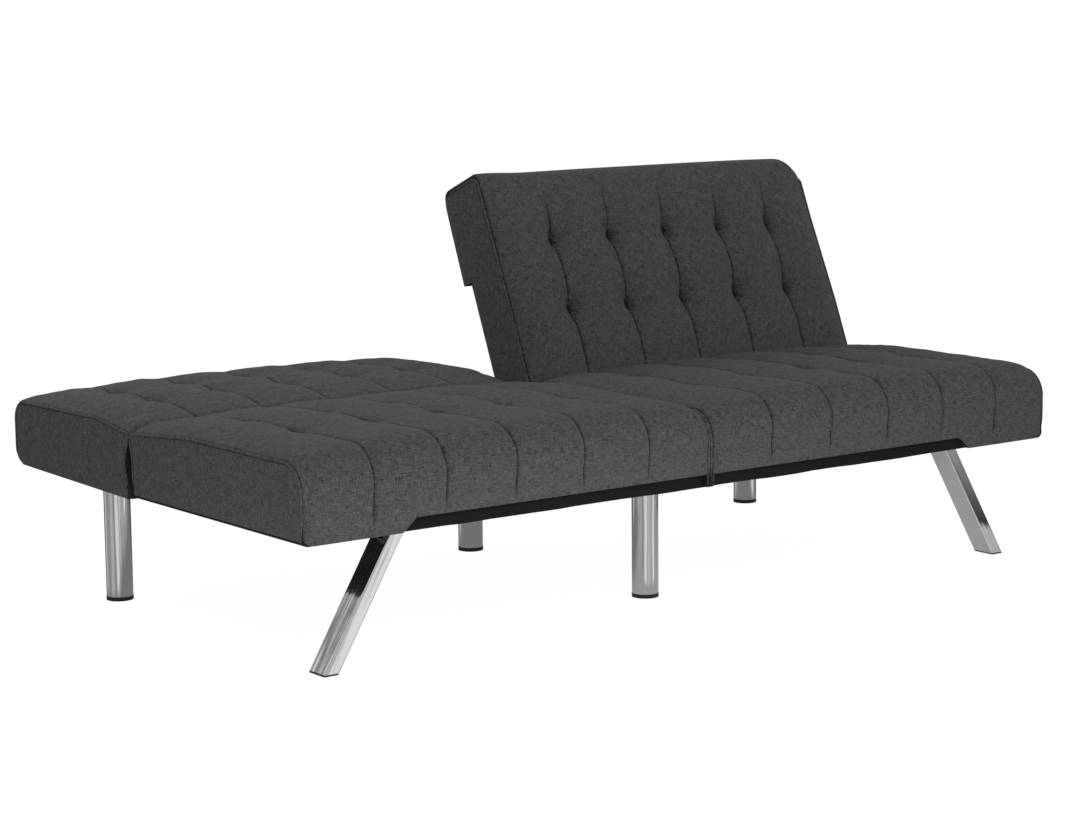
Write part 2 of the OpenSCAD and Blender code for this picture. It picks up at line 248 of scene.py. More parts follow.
def grid_quads(rows: int, columns: int, around: bool = False) -> np.ndarray:
    """Corner numbers of a grid's quads; the columns join up when around is true.

    Args:
        rows: How many rows it has.
        columns: How many columns it has.
        around: Whether the last column joins the first.

    Returns:
        Four corner numbers a row.
    """
    index = np.arange(rows * columns).reshape(rows, columns)
    after = np.roll(index, -1, axis=1)
    quads = np.stack([index[:-1], index[1:], after[1:], after[:-1]], axis=-1)
    return (quads if around else quads[:, :-1]).reshape(-1, 4)


def ring_quads(rows: int, columns: int) -> np.ndarray:
    """Corner numbers of a grid whose rows and columns both join up."""
    index = np.arange(rows * columns).reshape(rows, columns)
    down, after = np.roll(index, -1, axis=0), np.roll(index, -1, axis=1)
    return np.stack([index, down, np.roll(down, -1, axis=1), after], -1).reshape(-1, 4)


def tube_mesh(line: np.ndarray, across: np.ndarray, beside: np.ndarray, radius: np.ndarray | float,
              sides: int = 10) -> tuple[np.ndarray, np.ndarray]:
    """A closed round tube: a ring of cos(angle) * across + sin(angle) * beside round each point of a line.

    Args:
        line: Centre points.
        across: Unit vectors square to the line.
        beside: Unit vectors square to the line and to across, so that across x beside points along it.
        radius: Radius of the tube, or one for each point of the line.
        sides: How many sides it has.

    Returns:
        Points and quads; the ends are closed with quads that meet at a middle point.
    """
    angle = np.linspace(0, 2 * math.pi, sides, endpoint=False)
    ring = np.cos(angle)[None, :, None] * across[:, None] + np.sin(angle)[None, :, None] * beside[:, None]
    points = (line[:, None] + np.reshape(radius, (-1, 1, 1)) * ring).reshape(-1, 3)
    quads = grid_quads(len(line), sides, around=True)[:, ::-1]
    rim = np.arange(0, sides, 2)
    middle = np.full(len(rim), len(points))
    one, two = (rim + 1) % sides, (rim + 2) % sides
    base = (len(line) - 1) * sides
    start = np.stack([two, one, rim, middle], -1)
    end = np.stack([base + rim, base + one, base + two, middle + 1], -1)
    return np.concatenate([points, line[:1], line[-1:]]), np.concatenate([quads, start, end])


def merged(parts: Sequence[tuple[np.ndarray, np.ndarray]]) -> tuple[np.ndarray, np.ndarray]:
    """Puts several point-and-quad meshes into one."""
    starts = np.cumsum([0] + [len(p) for p, _ in parts[:-1]])
    return np.concatenate([p for p, _ in parts]), np.concatenate([q + s for (_, q), s in zip(parts, starts)])


def raised_by(points: np.ndarray, degrees: float) -> np.ndarray:
    """Points turned about the hinge line along X: y and z swing round it by the angle."""
    y, z = points[..., 1] - HINGE_Y, points[..., 2] - HINGE_Z
    c, s = math.cos(math.radians(degrees)), math.sin(math.radians(degrees))
    return np.stack([points[..., 0], HINGE_Y + c * y - s * z, HINGE_Z + s * y + c * z], axis=-1)


def on_side(points: np.ndarray, quads: np.ndarray, side: Side) -> tuple[np.ndarray, np.ndarray]:
    """A right-hand mesh on its side: for the left, X changes sign and each quad runs the other way."""
    if side is Side.RIGHT:
        return points, quads
    return points * np.array([-1.0, 1.0, 1.0]), quads[:, ::-1]


def new_piece(name: str, points: np.ndarray, quads: np.ndarray, materials: Sequence[bpy.types.Material],
              uv: Optional[np.ndarray] = None, slots: Optional[np.ndarray] = None,
              sharp: float = 50.0) -> bpy.types.Object:
    """Makes a smooth-shaded object at the origin from a mesh in millimetres.

    Args:
        name: Name of the piece.
        points: Places of the vertices, in millimetres.
        quads: Four corner numbers a row, outward.
        materials: Its materials.
        uv: Cloth coordinates of each quad's corners, in millimetres.
        slots: Number of each quad's material.
        sharp: Angle in degrees past which an edge stays crisp.

    Returns:
        The new object.
    """
    mesh = bpy.data.meshes.new(name)
    mesh.vertices.add(len(points))
    mesh.vertices.foreach_set("co", (points * MM).astype(np.float32).ravel())
    mesh.loops.add(quads.size)
    mesh.loops.foreach_set("vertex_index", quads.astype(np.int32).ravel())
    mesh.polygons.add(len(quads))
    mesh.polygons.foreach_set("loop_start", np.arange(0, quads.size, 4, dtype=np.int32))
    if slots is not None:
        mesh.polygons.foreach_set("material_index", slots.astype(np.int32))
    mesh.update(calc_edges=True)
    if uv is not None:
        layer = mesh.uv_layers.new(name="cloth")
        layer.data.foreach_set("uv", (uv * MM).astype(np.float32).ravel())
    mesh.polygons.foreach_set("use_smooth", np.ones(len(quads), bool))
    mesh.set_sharp_from_angle(angle=math.radians(sharp))
    for material in materials:
        mesh.materials.append(material)
    obj = bpy.data.objects.new(name, mesh)
    bpy.context.scene.collection.objects.link(obj)
    return obj


def inflated(points: np.ndarray, held: np.ndarray, pressure: float, cap: float) -> np.ndarray:
    """How far a sheet of cover cloth swells under the filling's pressure.

    Blender's cloth runs on the grid without gravity, and no point may move further than the cap.

    Args:
        points: Rows by columns by three places, in millimetres.
        held: Rows by columns, true where the cloth is sewn down.
        pressure: The filling's pressure.
        cap: Largest move, in millimetres.

    Returns:
        The move of each point, in millimetres.
    """
    rows, columns, _ = points.shape
    mesh = bpy.data.meshes.new("swelling")
    mesh.from_pydata((points.reshape(-1, 3) * MM).tolist(), [], grid_quads(rows, columns).tolist())
    obj = bpy.data.objects.new("swelling", mesh)
    scene = bpy.context.scene
    scene.collection.objects.link(obj)
    group = obj.vertex_groups.new(name="held")
    group.add(np.flatnonzero(held.ravel()).tolist(), 1.0, "REPLACE")
    cloth = obj.modifiers.new("Cloth", "CLOTH")
    for name, value in {
            "quality": 5, "mass": 0.3, "tension_stiffness": 12, "compression_stiffness": 12,
            "shear_stiffness": 6, "bending_stiffness": 0.8, "use_pressure": True,
            "uniform_pressure_force": pressure, "vertex_group_mass": "held"}.items():
        setattr(cloth.settings, name, value)
    cloth.settings.effector_weights.gravity = 0
    cloth.collision_settings.use_collision = False
    cloth.collision_settings.use_self_collision = False
    for number in range(1, CLOTH_FRAMES + 1):
        scene.frame_set(number)
    depsgraph = bpy.context.evaluated_depsgraph_get()
    swollen = np.zeros(rows * columns * 3, np.float32)
    obj.evaluated_get(depsgraph).data.vertices.foreach_get("co", swollen)
    bpy.data.objects.remove(obj)
    bpy.data.meshes.remove(mesh)
    scene.frame_set(1)
    move = swollen.reshape(points.shape).astype(float) / MM - points
    size = np.linalg.norm(move, axis=-1, keepdims=True)
    return move * cap * np.tanh(size / cap) / np.maximum(size, 1e-6)


# ---------------------------------------------------------------- finishes


@dataclass(frozen=True)
class Finish:
    """What every finish has: the name of its material."""

    name: str

    def start(self) -> tuple[bpy.types.Material, bpy.types.NodeTree, bpy.types.Node, bpy.types.NodeSocket]:
        """Makes the material with its shader.

        Returns:
            The material, its node tree, its shader node and its Object coordinates.
        """
        material = bpy.data.materials.new(self.name)
        material.use_nodes = True
        tree = material.node_tree
        place = add_node(tree, "TexCoord").outputs["Object"]
        return material, tree, tree.nodes["Principled BSDF"], place

    def material(self) -> bpy.types.Material:
        """Makes the material; each finish has its own."""
        raise NotImplementedError


@dataclass(frozen=True)
class LinenWeave(Finish):
    """Plain-woven polyester linen, piece dyed charcoal from slubby heather yarn.

    It gives the eye a matt dark grey with short lighter and darker dashes along both thread directions,
    and a soft sheen at a grazing look.
    """

    dark: str = "#222423"
    light: str = "#5c5e5d"
    # Real yarns are 0.5 mm apart and slubs 1 mm wide; the slubs are drawn 2 mm wide and 11 mm long so that
    # they show.
    slub_width: float = 2.0
    slub_length: float = 11.0
    thread: float = 1.1

    def material(self) -> bpy.types.Material:
        """Makes the woven material.

        Returns:
            The material, whose pattern follows the piece's cloth UV map.
        """
        material, tree, shader, _ = self.start()
        uv = add_node(tree, "UVMap", {"uv_map": "cloth"}).outputs["UV"]
        wide, long = 1 / (self.slub_width * MM), 1 / (self.slub_length * MM)
        dashes = []
        for scale in ((long, wide, 1), (wide, long, 1)):
            place = add_node(tree, "Mapping", {"Scale": scale}, {"Vector": uv})
            dashes.append(add_node(tree, "TexNoise", {"Scale": 1.0, "Detail": 1.2, "Roughness": 0.5},
                                   {"Vector": place.outputs["Vector"]}).outputs["Fac"])
        both = add_node(tree, "Math", {"operation": "ADD"}, {0: dashes[0], 1: dashes[1]}).outputs[0]
        cloud = add_node(tree, "TexNoise", {"Scale": 60.0, "Detail": 3.0}, {"Vector": uv}).outputs["Fac"]
        tone = add_node(tree, "Math", {"operation": "MULTIPLY_ADD", 1: 0.45}, {0: cloud, 2: both})
        # Painted shade: a point attribute darkens the cloth's colour in the seams, round the tufts, beside the
        # piping, at the inner ends and on the hinge faces.
        crease = add_node(tree, "Attribute", {"attribute_name": "crease"}).outputs["Fac"]
        tone = add_node(tree, "Math", {"operation": "MULTIPLY_ADD", 1: -1.1},
                        {0: crease, 2: tone.outputs[0]}).outputs[0]
        mixed = add_node(tree, "MapRange", {"From Min": 0.70, "From Max": 1.74}, {"Value": tone})
        ends = {"data_type": "RGBA", 6: linear(self.dark), 7: linear(self.light)}
        colour = add_node(tree, "Mix", ends, {0: mixed.outputs["Result"]}).outputs[2]
        # Weave bump: two crossed sets of threads.
        pitch = math.pi / (self.thread * MM)
        sets = []
        for direction in ("X", "Y"):
            sets.append(add_node(tree, "TexWave",
                                 {"wave_type": "BANDS", "bands_direction": direction, "Scale": pitch / 10,
                                  "Distortion": 0.6, "Detail": 1.0}, {"Vector": uv}).outputs["Fac"])
        weave = add_node(tree, "Math", {"operation": "MULTIPLY"}, {0: sets[0], 1: sets[1]}).outputs[0]
        height = add_node(tree, "Math", {"operation": "MULTIPLY_ADD", 1: 0.8}, {0: weave, 2: both})
        bump = add_node(tree, "Bump", {"Strength": 0.22, "Distance": 0.0007}, {"Height": height.outputs[0]})
        constants = {"Roughness": 0.95, "Specular IOR Level": 0.12, "Sheen Weight": 0.12,
                     "Sheen Roughness": 0.5, "Sheen Tint": linear("#8e9292")}
        set_node(tree, shader, constants, {"Base Color": colour, "Normal": bump.outputs["Normal"]})
        return material


@dataclass(frozen=True)
class PlainCloth(Finish):
    """Black spun-bonded polypropylene lining: flat, dull and slightly mottled where its fibres clump."""

    dark: str = "#0e0e0f"
    light: str = "#1c1c1d"
    # Fibre clumps are about 2 mm across.
    clump: float = 2.0

    def material(self) -> bpy.types.Material:
        """Makes the cloth; its pattern is on Object coordinates.

        Returns:
            The material.
        """
        material, tree, shader, place = self.start()
        clumps = add_node(tree, "TexNoise", {"Scale": 1 / (self.clump * MM), "Detail": 4.0},
                          {"Vector": place}).outputs["Fac"]
        ends = {"data_type": "RGBA", 6: linear(self.dark), 7: linear(self.light)}
        colour = add_node(tree, "Mix", ends, {0: clumps}).outputs[2]
        bump = add_node(tree, "Bump", {"Strength": 0.5, "Distance": 0.0004}, {"Height": clumps})
        set_node(tree, shader, {"Roughness": 0.9, "Specular IOR Level": 0.2},
                 {"Base Color": colour, "Normal": bump.outputs["Normal"]})
        return material


@dataclass(frozen=True)
class PlatedSteel(Finish):
    """Steel tube under a bright plating: a mirror with faint polishing lines and hazy handling marks."""

    colour: str = "#d4d6d8"
    gloss: float = 0.05
    haze: float = 0.07
    line_depth: float = 0.00002
    stretch: float = 0.02
    lean: float = 0.0
    # Drawn tube is uneven by a few hundredths of a millimetre over 20 mm; it is drawn ten times deeper.
    wave: float = 16.0
    wave_depth: float = 0.0008
    # Polishing lines are about 0.4 mm apart; they are drawn 1.5 mm apart so that they show.
    line_gap: float = 1.5

    def material(self) -> bpy.types.Material:
        """Makes the plated metal; its pattern is on Object coordinates, drawn out along the tube.

        Returns:
            The material.
        """
        material, tree, shader, place = self.start()
        place = add_node(tree, "Mapping", {"Rotation": (0, math.radians(self.lean), 0)},
                         {"Vector": place}).outputs["Vector"]
        longer = add_node(tree, "Mapping", {"Scale": (1, 1, 0.12)}, {"Vector": place})
        uneven = add_node(tree, "TexNoise", {"Scale": 1 / (self.wave * MM), "Detail": 1.0},
                          {"Vector": longer.outputs["Vector"]}).outputs["Fac"]
        wavy = add_node(tree, "Bump", {"Strength": 1.0, "Distance": self.wave_depth}, {"Height": uneven})
        drawn = add_node(tree, "Mapping", {"Scale": (1, 1, self.stretch)}, {"Vector": place})
        lines = add_node(tree, "TexNoise", {"Scale": 1 / (self.line_gap * MM), "Detail": 2.0},
                         {"Vector": drawn.outputs["Vector"]}).outputs["Fac"]
        marks = add_node(tree, "TexNoise", {"Scale": 22.0, "Detail": 5.0}, {"Vector": place}).outputs["Fac"]
        span = {"From Min": 0.45, "From Max": 0.75, "To Min": self.gloss, "To Max": self.gloss + self.haze}
        rough = add_node(tree, "MapRange", span, {"Value": marks}).outputs["Result"]
        bump = add_node(tree, "Bump", {"Strength": 0.6, "Distance": self.line_depth},
                        {"Height": lines, "Normal": wavy.outputs["Normal"]})
        set_node(tree, shader, {"Metallic": 1.0, "Base Color": linear(self.colour)},
                 {"Roughness": rough, "Normal": bump.outputs["Normal"]})
        return material


@dataclass(frozen=True)
class MouldedPlastic(Finish):
    """Injection-moulded black polyethylene: satin, with a fine moulded grain."""

    colour: str = "#141414"
    # Moulded grain is 0.3 mm; it is drawn at 0.8 mm so that it shows close to.
    grain: float = 0.8

    def material(self) -> bpy.types.Material:
        """Makes the plastic; its grain is on Object coordinates.

        Returns:
            The material.
        """
        material, tree, shader, place = self.start()
        grain = add_node(tree, "TexNoise", {"Scale": 1 / (self.grain * MM), "Detail": 2.0},
                         {"Vector": place}).outputs["Fac"]
        rough = add_node(tree, "MapRange", {"To Min": 0.38, "To Max": 0.55}, {"Value": grain})
        bump = add_node(tree, "Bump", {"Strength": 0.3, "Distance": 0.0001}, {"Height": grain})
        set_node(tree, shader, {"Base Color": linear(self.colour)},
                 {"Roughness": rough.outputs["Result"], "Normal": bump.outputs["Normal"]})
        return material


@dataclass(frozen=True)
class SawnWood(Finish):
    """Sawn softwood or rotary-cut plywood: pale, with darker growth bands drawn out along X."""

    pale: str = "#cfae7d"
    dark: str = "#9c7443"
    # Growth rings are about 4 mm apart.
    ring: float = 4.0

    def material(self) -> bpy.types.Material:
        """Makes the wood; its grain is on Object coordinates.

        Returns:
            The material.
        """
        material, tree, shader, place = self.start()
        drawn = add_node(tree, "Mapping", {"Scale": (0.06, 1, 1)}, {"Vector": place}).outputs["Vector"]
        grain = {"Scale": 1 / (self.ring * MM), "Detail": 6.0, "Distortion": 0.8}
        rings = add_node(tree, "TexNoise", grain, {"Vector": drawn}).outputs["Fac"]
        ends = {"data_type": "RGBA", 6: linear(self.pale), 7: linear(self.dark)}
        colour = add_node(tree, "Mix", ends, {0: rings}).outputs[2]
        bump = add_node(tree, "Bump", {"Strength": 0.4, "Distance": 0.0003}, {"Height": rings})
        set_node(tree, shader, {"Roughness": 0.75}, {"Base Color": colour, "Normal": bump.outputs["Normal"]})
        return material


FINISHES: dict[Slot, Finish] = {
    Slot.LINEN: LinenWeave("charcoal_linen_weave"),
    Slot.BLACK_CLOTH: PlainCloth("black_lining_cloth"),
    Slot.CHROME: PlatedSteel("polished_chrome_tube"),
    Slot.ZINC: PlatedSteel("zinc_plated_steel", colour="#a9abb0", gloss=0.3, haze=0.25, stretch=0.4),
    Slot.SPRING: PlatedSteel("oiled_spring_steel", colour="#7c7d80", gloss=0.25, haze=0.2),
    Slot.PLASTIC: MouldedPlastic("moulded_black_polyethylene"),
    Slot.TIMBER: SawnWood("sawn_pine"),
    Slot.PLYWOOD: SawnWood("birch_plywood", pale="#dcc196", dark="#b9945f", ring=7.0),
}


class Workshop:
    """The finishes in use, made once, and how a piece is dressed with them."""

    def __init__(self) -> None:
        """Makes each slot's material, and the lacquer of the leg fixings."""
        self.made = {slot: finish.material() for slot, finish in FINISHES.items()}
        self.lacquer = MouldedPlastic("black_lacquered_steel").material()

    def of(self, slot: Slot) -> bpy.types.Material:
        """The material that a slot of the record is dressed in."""
        return self.made[slot]

    def dress_frame(self) -> None:
        """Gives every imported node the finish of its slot; the leg fixings are lacquered black."""
        slot_of = {row["node"]: Slot(row["material_slot"]) for row in frame["record"]["subparts"]}
        for name, obj in frame["nodes"].items():
            fixing = name.endswith(("leg_plates", "leg_screws"))
            obj.data.materials.clear()
            obj.data.materials.append(self.lacquer if fixing else self.of(slot_of[name]))
        LOG.info("dressed %d packed nodes", len(frame["nodes"]))

    def fit(self, obj: bpy.types.Object, slot: Slot, body: str, *nodes: str) -> bpy.types.Object:
        """Puts a piece on its body and lets it stand for its nodes.

        Args:
            obj: The piece.
            slot: Its slot of the record; not used.
            body: Body it rides on.
            nodes: Nodes that it stands for.

        Returns:
            The piece.
        """
        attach(obj, body)
        if nodes:
            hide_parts(*nodes)
        LOG.info("made %s: %d faces on %s", obj.name, len(obj.data.polygons), body)
        return obj


# ---------------------------------------------------------------- quilted cushions


@dataclass
class Cushion:
    """A quilted box cushion over a slatted frame, drawn flat as the right-hand module.

    Its cross-section is a loop of four sides: the near face, the top, the far face and the underside. The
    loop is carried along X, and each end is closed by a panel whose grid blends the four sides.
    """

    name: str
    node: str
    body: str
    side: Side
    shop: Workshop
    raised: float = 0.0
    inner_x: float = 1.0
    outer_x: float = 869.0
    seam_gap: float = 145.0
    near_steps: int = 34
    top_steps: int = 118
    per_channel: int = 34
    crown: float = 20.0
    puff: float = 4.8
    tuft_depth: float = 13.0
    tuft_rows: tuple[float, float] = (0.0, 0.0)
    seed: int = 1
    fill: float = 0.85
    pressure: float = 4.0
    most_swelling: float = 7.0
    welt_radius: float = 2.4
    seam_shade: float = 0.55
    welt_foot: float = 250.0

    # -- shape that the two kinds of cushion give

    def outline(self) -> tuple[np.ndarray, list[float]]:
        """The near face, top and far face as one line in YZ, and where the top starts and ends along it."""
        raise NotImplementedError

    def underside(self, x: np.ndarray, loop: np.ndarray) -> np.ndarray:
        """Fits the loop's lower stations to the frame at each x."""
        raise NotImplementedError

    def cover(self, x: np.ndarray, run: np.ndarray, loop: np.ndarray) -> dict[str, np.ndarray]:
        """Weights of crown, puff and seam at each station, and extra height."""
        raise NotImplementedError

    # -- stations

    def stations_x(self) -> np.ndarray:
        """Places along X: each channel's are closer together beside its seams, with extra ones at steps.

        Returns:
            Places in rising order.
        """
        channels = round((self.outer_x - self.inner_x) / self.seam_gap)
        t = np.linspace(0, channels, channels * self.per_channel + 1)
        t = t - 0.78 * np.sin(2 * math.pi * t) / (2 * math.pi)
        x = t * self.seam_gap
        x = x[(x > self.inner_x + 0.5) & (x < self.outer_x - 0.5)]
        x = np.concatenate([[self.inner_x], x, [self.outer_x]])
        by_ends = [2.2, 7.2, 8.8, 860.5, 864.0, 866.6, 868.2]
        extra = np.sort(np.array(by_ends + [634.0, 643.0, 663.0, 671.0, SKIN_X - 0.5, SKIN_X + 0.5]))
        far = np.abs(x[:, None] - extra[None, :]).min(1) > 0.9
        far[[0, -1]] = True
        return np.sort(np.concatenate([x[far], extra]))

    def ring(self) -> tuple[np.ndarray, np.ndarray]:
        """The loop's stations and their length along the outline.

        Returns:
            Loop points in YZ, near face first, and the length at each station of the three upper sides.
        """
        line, (start, end) = self.outline()
        total = lengths(line)[-1]
        run = np.concatenate([
            np.linspace(0, start, self.near_steps + 1)[:-1],
            np.linspace(start, end, self.top_steps + 1)[:-1],
            np.linspace(end, total, self.near_steps + 1)[:-1]])
        upper = at_lengths(line, run)
        last = line[-1]
        low = np.linspace(0, 1, self.top_steps + 1)[:-1, None]
        under = last + low * (line[0] - last)
        return np.concatenate([upper, under]), np.concatenate([run, np.full(self.top_steps, total)])

    # -- relief

    @property
    def upper(self) -> int:
        """How many of the loop's stations are on its three upper sides."""
        return 2 * self.near_steps + self.top_steps

    def from_seam(self, x: np.ndarray) -> np.ndarray:
        """Distance along X to the nearest place where a seam could be."""
        return np.abs((x / self.seam_gap + 0.5) % 1 - 0.5) * self.seam_gap

    def from_end(self, x: np.ndarray) -> np.ndarray:
        """Distance along X to the nearer end."""
        return np.minimum(x - self.inner_x, self.outer_x - x)

    def tufts(self) -> list[tuple[float, float]]:
        """Places of the buttons' stitches: x and the length along the outline."""
        return [(k * self.seam_gap, row) for k in range(1, 6) for row in self.tuft_rows]

    def set_rows(self, *places: float) -> None:
        """Sets the rows of tufts by y, and keeps each as the length along the outline where its top passes y.

        Args:
            places: The rows' y.
        """
        line, (start, _) = self.outline()
        run = lengths(line)
        on_top = (run > start) & (line[:, 1] > 345)
        self.tuft_rows = tuple(float(np.interp(y, line[on_top, 0], run[on_top])) for y in places)

    def sunk(self, x: np.ndarray, run: np.ndarray) -> np.ndarray:
        """Depth of the tufted dips: round each stitch a broad bell, a narrower one, and a pit.

        The narrow parts are a little longer along the seam, as a pull on a sewn seam is.

        Args:
            x: Column of places along X.
            run: Row of lengths along the outline.

        Returns:
            Depth of the dips.
        """
        depth = np.zeros(np.broadcast(x, run).shape)
        for place, row in self.tufts():
            dx, ds = x - place, run - row
            depth = np.maximum(depth, self.tuft_depth * (
                0.34 * bell(np.hypot(dx, 0.8 * ds), 40) + 0.34 * bell(np.hypot(dx, 0.75 * ds), 19)
                + 0.32 * bell(np.hypot(dx, 0.65 * ds), 8.5)))
        return depth

    def pulls(self, x: np.ndarray, run: np.ndarray) -> np.ndarray:
        """Small folds that run out from each tuft: waves round it that die away with distance.

        Args:
            x: Column of places along X.
            run: Row of lengths along the outline.

        Returns:
            Height of the folds, about -1.7 to 1.7.
        """
        draw = np.random.default_rng(self.seed + 40)
        height = np.zeros(np.broadcast(x, run).shape)
        for place, row in self.tufts():
            dx, ds = x - place, run - row
            away, angle = np.hypot(dx, ds), np.arctan2(ds, dx)
            fold = np.cos(5 * angle + draw.uniform(0, 6.28))
            fold += 0.7 * np.cos(8 * angle + draw.uniform(0, 6.28))
            height += fold * ramp(away, 4, 16) * ramp(away, 62, 18)
        return height

    def relief(self, x: np.ndarray, run: np.ndarray, loop: np.ndarray, swollen: bool) -> np.ndarray:
        """Height of the cover over the plain loop.

        Crown plus channel puff plus ripples, less the tufted dips and the sewn grooves, each weighted.

        Args:
            x: Column of places along X.
            run: Row of lengths along the outline.
            loop: The loop's stations.
            swollen: Whether a cloth simulation adds most of the puff.

        Returns:
            Height along the loop's outward direction.
        """
        parts = self.cover(x, run, loop)
        share = (x - self.inner_x) / (self.outer_x - self.inner_x)
        rim = self.from_end(x)
        arch = 0.65 * (1 - np.abs(2 * share - 1) ** 3) + 0.35 * (1 - (1 - np.clip(rim / 75, 0, 1)) ** 2.3)
        channel = np.abs(np.sin(math.pi * x / self.seam_gap))
        nearest = self.from_seam(x)
        puff = self.puff * ((0.35 if swollen else 0.9) * channel + 1.15 * (1 - np.exp(-nearest / 8.0)))
        inside = self.from_end(x) > 59
        groove = 3.0 * bell(nearest, 2.0) * inside
        rippled = 0.75 * waves(x, run, 95, self.seed) + 0.35 * waves(x, run, 34, self.seed + 7)
        edge = ramp(x, self.inner_x, 22) * ramp(x, self.outer_x, self.outer_x - 22)
        dips = self.sunk(x, run) - 0.55 * self.pulls(x, run)
        tucked = 3.2 * bell(rim, 4.0) * self.rimmed(x, run)
        return (self.crown * arch * parts["crown"] + edge * parts["seam"] * (puff - groove)
                + edge * parts["top"] * (rippled - dips) + parts["extra"] - tucked)

    def painted_shade_depth(self, x: np.ndarray, run: np.ndarray, loop: np.ndarray) -> np.ndarray:
        """How strongly painted shade darkens each point's colour, from 0 to 1: at seams, stitches, ends and the
        hinge.

        Args:
            x: Column of places along X.
            run: Row of lengths along the outline.
            loop: The loop's stations in YZ.

        Returns:
            Weight of the painted shade, from 0 to 1.
        """
        # Painted shade: thin dark lines in the seams, dark pits round the tufts, and dark bands at the inner
        # end and beside the piping.
        nearest = self.from_seam(x)
        inside = self.from_end(x) > 59
        seam = self.seam_shade * self.cover(x, run, loop)["seam"] * bell(nearest, 1.5) * inside
        rim = self.from_end(x)
        pit = 0 * x * run
        for place, row in self.tufts():
            away = np.hypot(x - place, 0.6 * (run - row))
            pit = np.maximum(pit, 0.45 * bell(away, 4.0) + 0.3 * bell(away, 11.0))
        inner = 0.9 * bell(x - self.inner_x, 5.0)
        piped = 0.8 * bell(rim, 3.0) * self.rimmed(x, run)
        deep = np.maximum(np.maximum(seam, pit), np.maximum(inner, piped))
        # Painted shade on the hinge face near the outer end, where the gap between the cushions is dark.
        deep = np.maximum(deep, 0.95 * self.hinge_face(run) * ramp(x, 700, 800))
        deep[:, self.upper :] = 0
        return deep

    def rimmed(self, x: np.ndarray, run: np.ndarray) -> np.ndarray:
        """How far the cover's edges at the end panels are tucked in, from 0 to 1."""
        return np.ones(np.broadcast(x, run).shape)

    def hinge_face(self, run: np.ndarray) -> np.ndarray:
        """One on the face that turns to the other cushion at the hinge, and zero elsewhere."""
        raise NotImplementedError

    @staticmethod
    def outward(points: np.ndarray) -> np.ndarray:
        """Unit vectors square to each column's loop in YZ, on its outer side."""
        along = np.roll(points, -1, axis=1) - np.roll(points, 1, axis=1)
        normal = np.stack([np.zeros(along.shape[:2]), -along[..., 2], along[..., 1]], axis=-1)
        return normal / np.maximum(np.linalg.norm(normal, axis=-1, keepdims=True), 1e-9)

    def plain(self, x: np.ndarray, loop: np.ndarray) -> np.ndarray:
        """The loop carried along X with its lower stations fitted to the frame.

        Args:
            x: Places along X.
            loop: The loop's stations in YZ.

        Returns:
            Points by x and loop station.
        """
        points = np.empty((len(x), len(loop), 3))
        points[..., 0] = x[:, None]
        points[..., 1:] = loop[None]
        return self.underside(x[:, None], points)

    def swelling(self, x: np.ndarray, run: np.ndarray) -> Optional[np.ndarray]:
        """The cover's swelling, simulated on a coarser grid and carried to the fine one.

        Args:
            x: Fine places along X.
            run: Fine lengths along the outline's three upper sides.

        Returns:
            The move of each point of the three upper sides.
        """
        line, (_, end) = self.outline()
        coarse_x = np.linspace(self.inner_x, self.outer_x, 97)
        coarse_run = np.arange(0, lengths(line)[-1], 9.0)
        loop = at_lengths(line, coarse_run)
        points = self.plain(coarse_x, loop)
        height = self.relief(coarse_x[:, None], coarse_run[None], loop, True)
        along = np.gradient(loop, axis=0)
        normal = np.stack([np.zeros(len(loop)), -along[:, 1], along[:, 0]], -1)
        normal /= np.linalg.norm(normal, axis=-1, keepdims=True)
        points = points + normal[None] * height[..., None]
        seams = self.cover(coarse_x[:, None], coarse_run[None], loop)["seam"] > 0.55
        held = (self.from_seam(coarse_x)[:, None] < 0.04 * self.seam_gap) & seams
        held[[0, -1]] = True
        held[:, [0, 1, 2, -3, -2, -1]] = True
        held |= self.pressed(coarse_run, end)[None]
        move = inflated(points, held, self.pressure, self.most_swelling)
        size = np.linalg.norm(move, axis=-1)
        LOG.info("%s swells by up to %.1f mm, %.1f on average", self.name, size.max(), size.mean())
        move *= (1 - ramp(np.abs(coarse_x - 435), 415, 434))[:, None, None]
        carried = np.einsum("ia,abk->ibk", spread(coarse_x, x), move)
        carried = np.einsum("jb,ibk->ijk", spread(coarse_run, run), carried)
        column, row = x[:, None], run[None]
        sewn = self.cover(column, row, self.ring()[0][: self.upper])["seam"]
        loose = (1 - bell(self.from_seam(column), 9.0) * sewn) * self.slack(row, end)
        for place, tuft in self.tufts():
            loose *= 1 - 0.95 * bell(np.hypot(column - place, row - tuft), 24)
        return carried * loose[..., None]

    def pressed(self, run: np.ndarray, end: float) -> np.ndarray:
        """Stations whose cloth is held by something it lies against."""
        return np.zeros(len(run), bool)

    def slack(self, run: np.ndarray, end: float) -> np.ndarray:
        """How freely the cloth swells at each station."""
        return np.ones_like(run)

    # -- mesh

    def surface(self) -> tuple[np.ndarray, np.ndarray, np.ndarray, np.ndarray]:
        """The whole cover as a grid.

        Returns:
            Points by x and loop station, the places along X, the lengths along the outline, and the loop.
        """
        x = self.stations_x()
        loop, run = self.ring()
        points = self.plain(x, loop)
        move = self.swelling(x, run[: self.upper])
        height = self.relief(x[:, None], run[None], loop, move is not None)
        height[:, self.upper :] = 0
        points = points + self.outward(points) * height[..., None]
        if move is not None:
            points[:, : self.upper] += move
        return points, x, run, loop

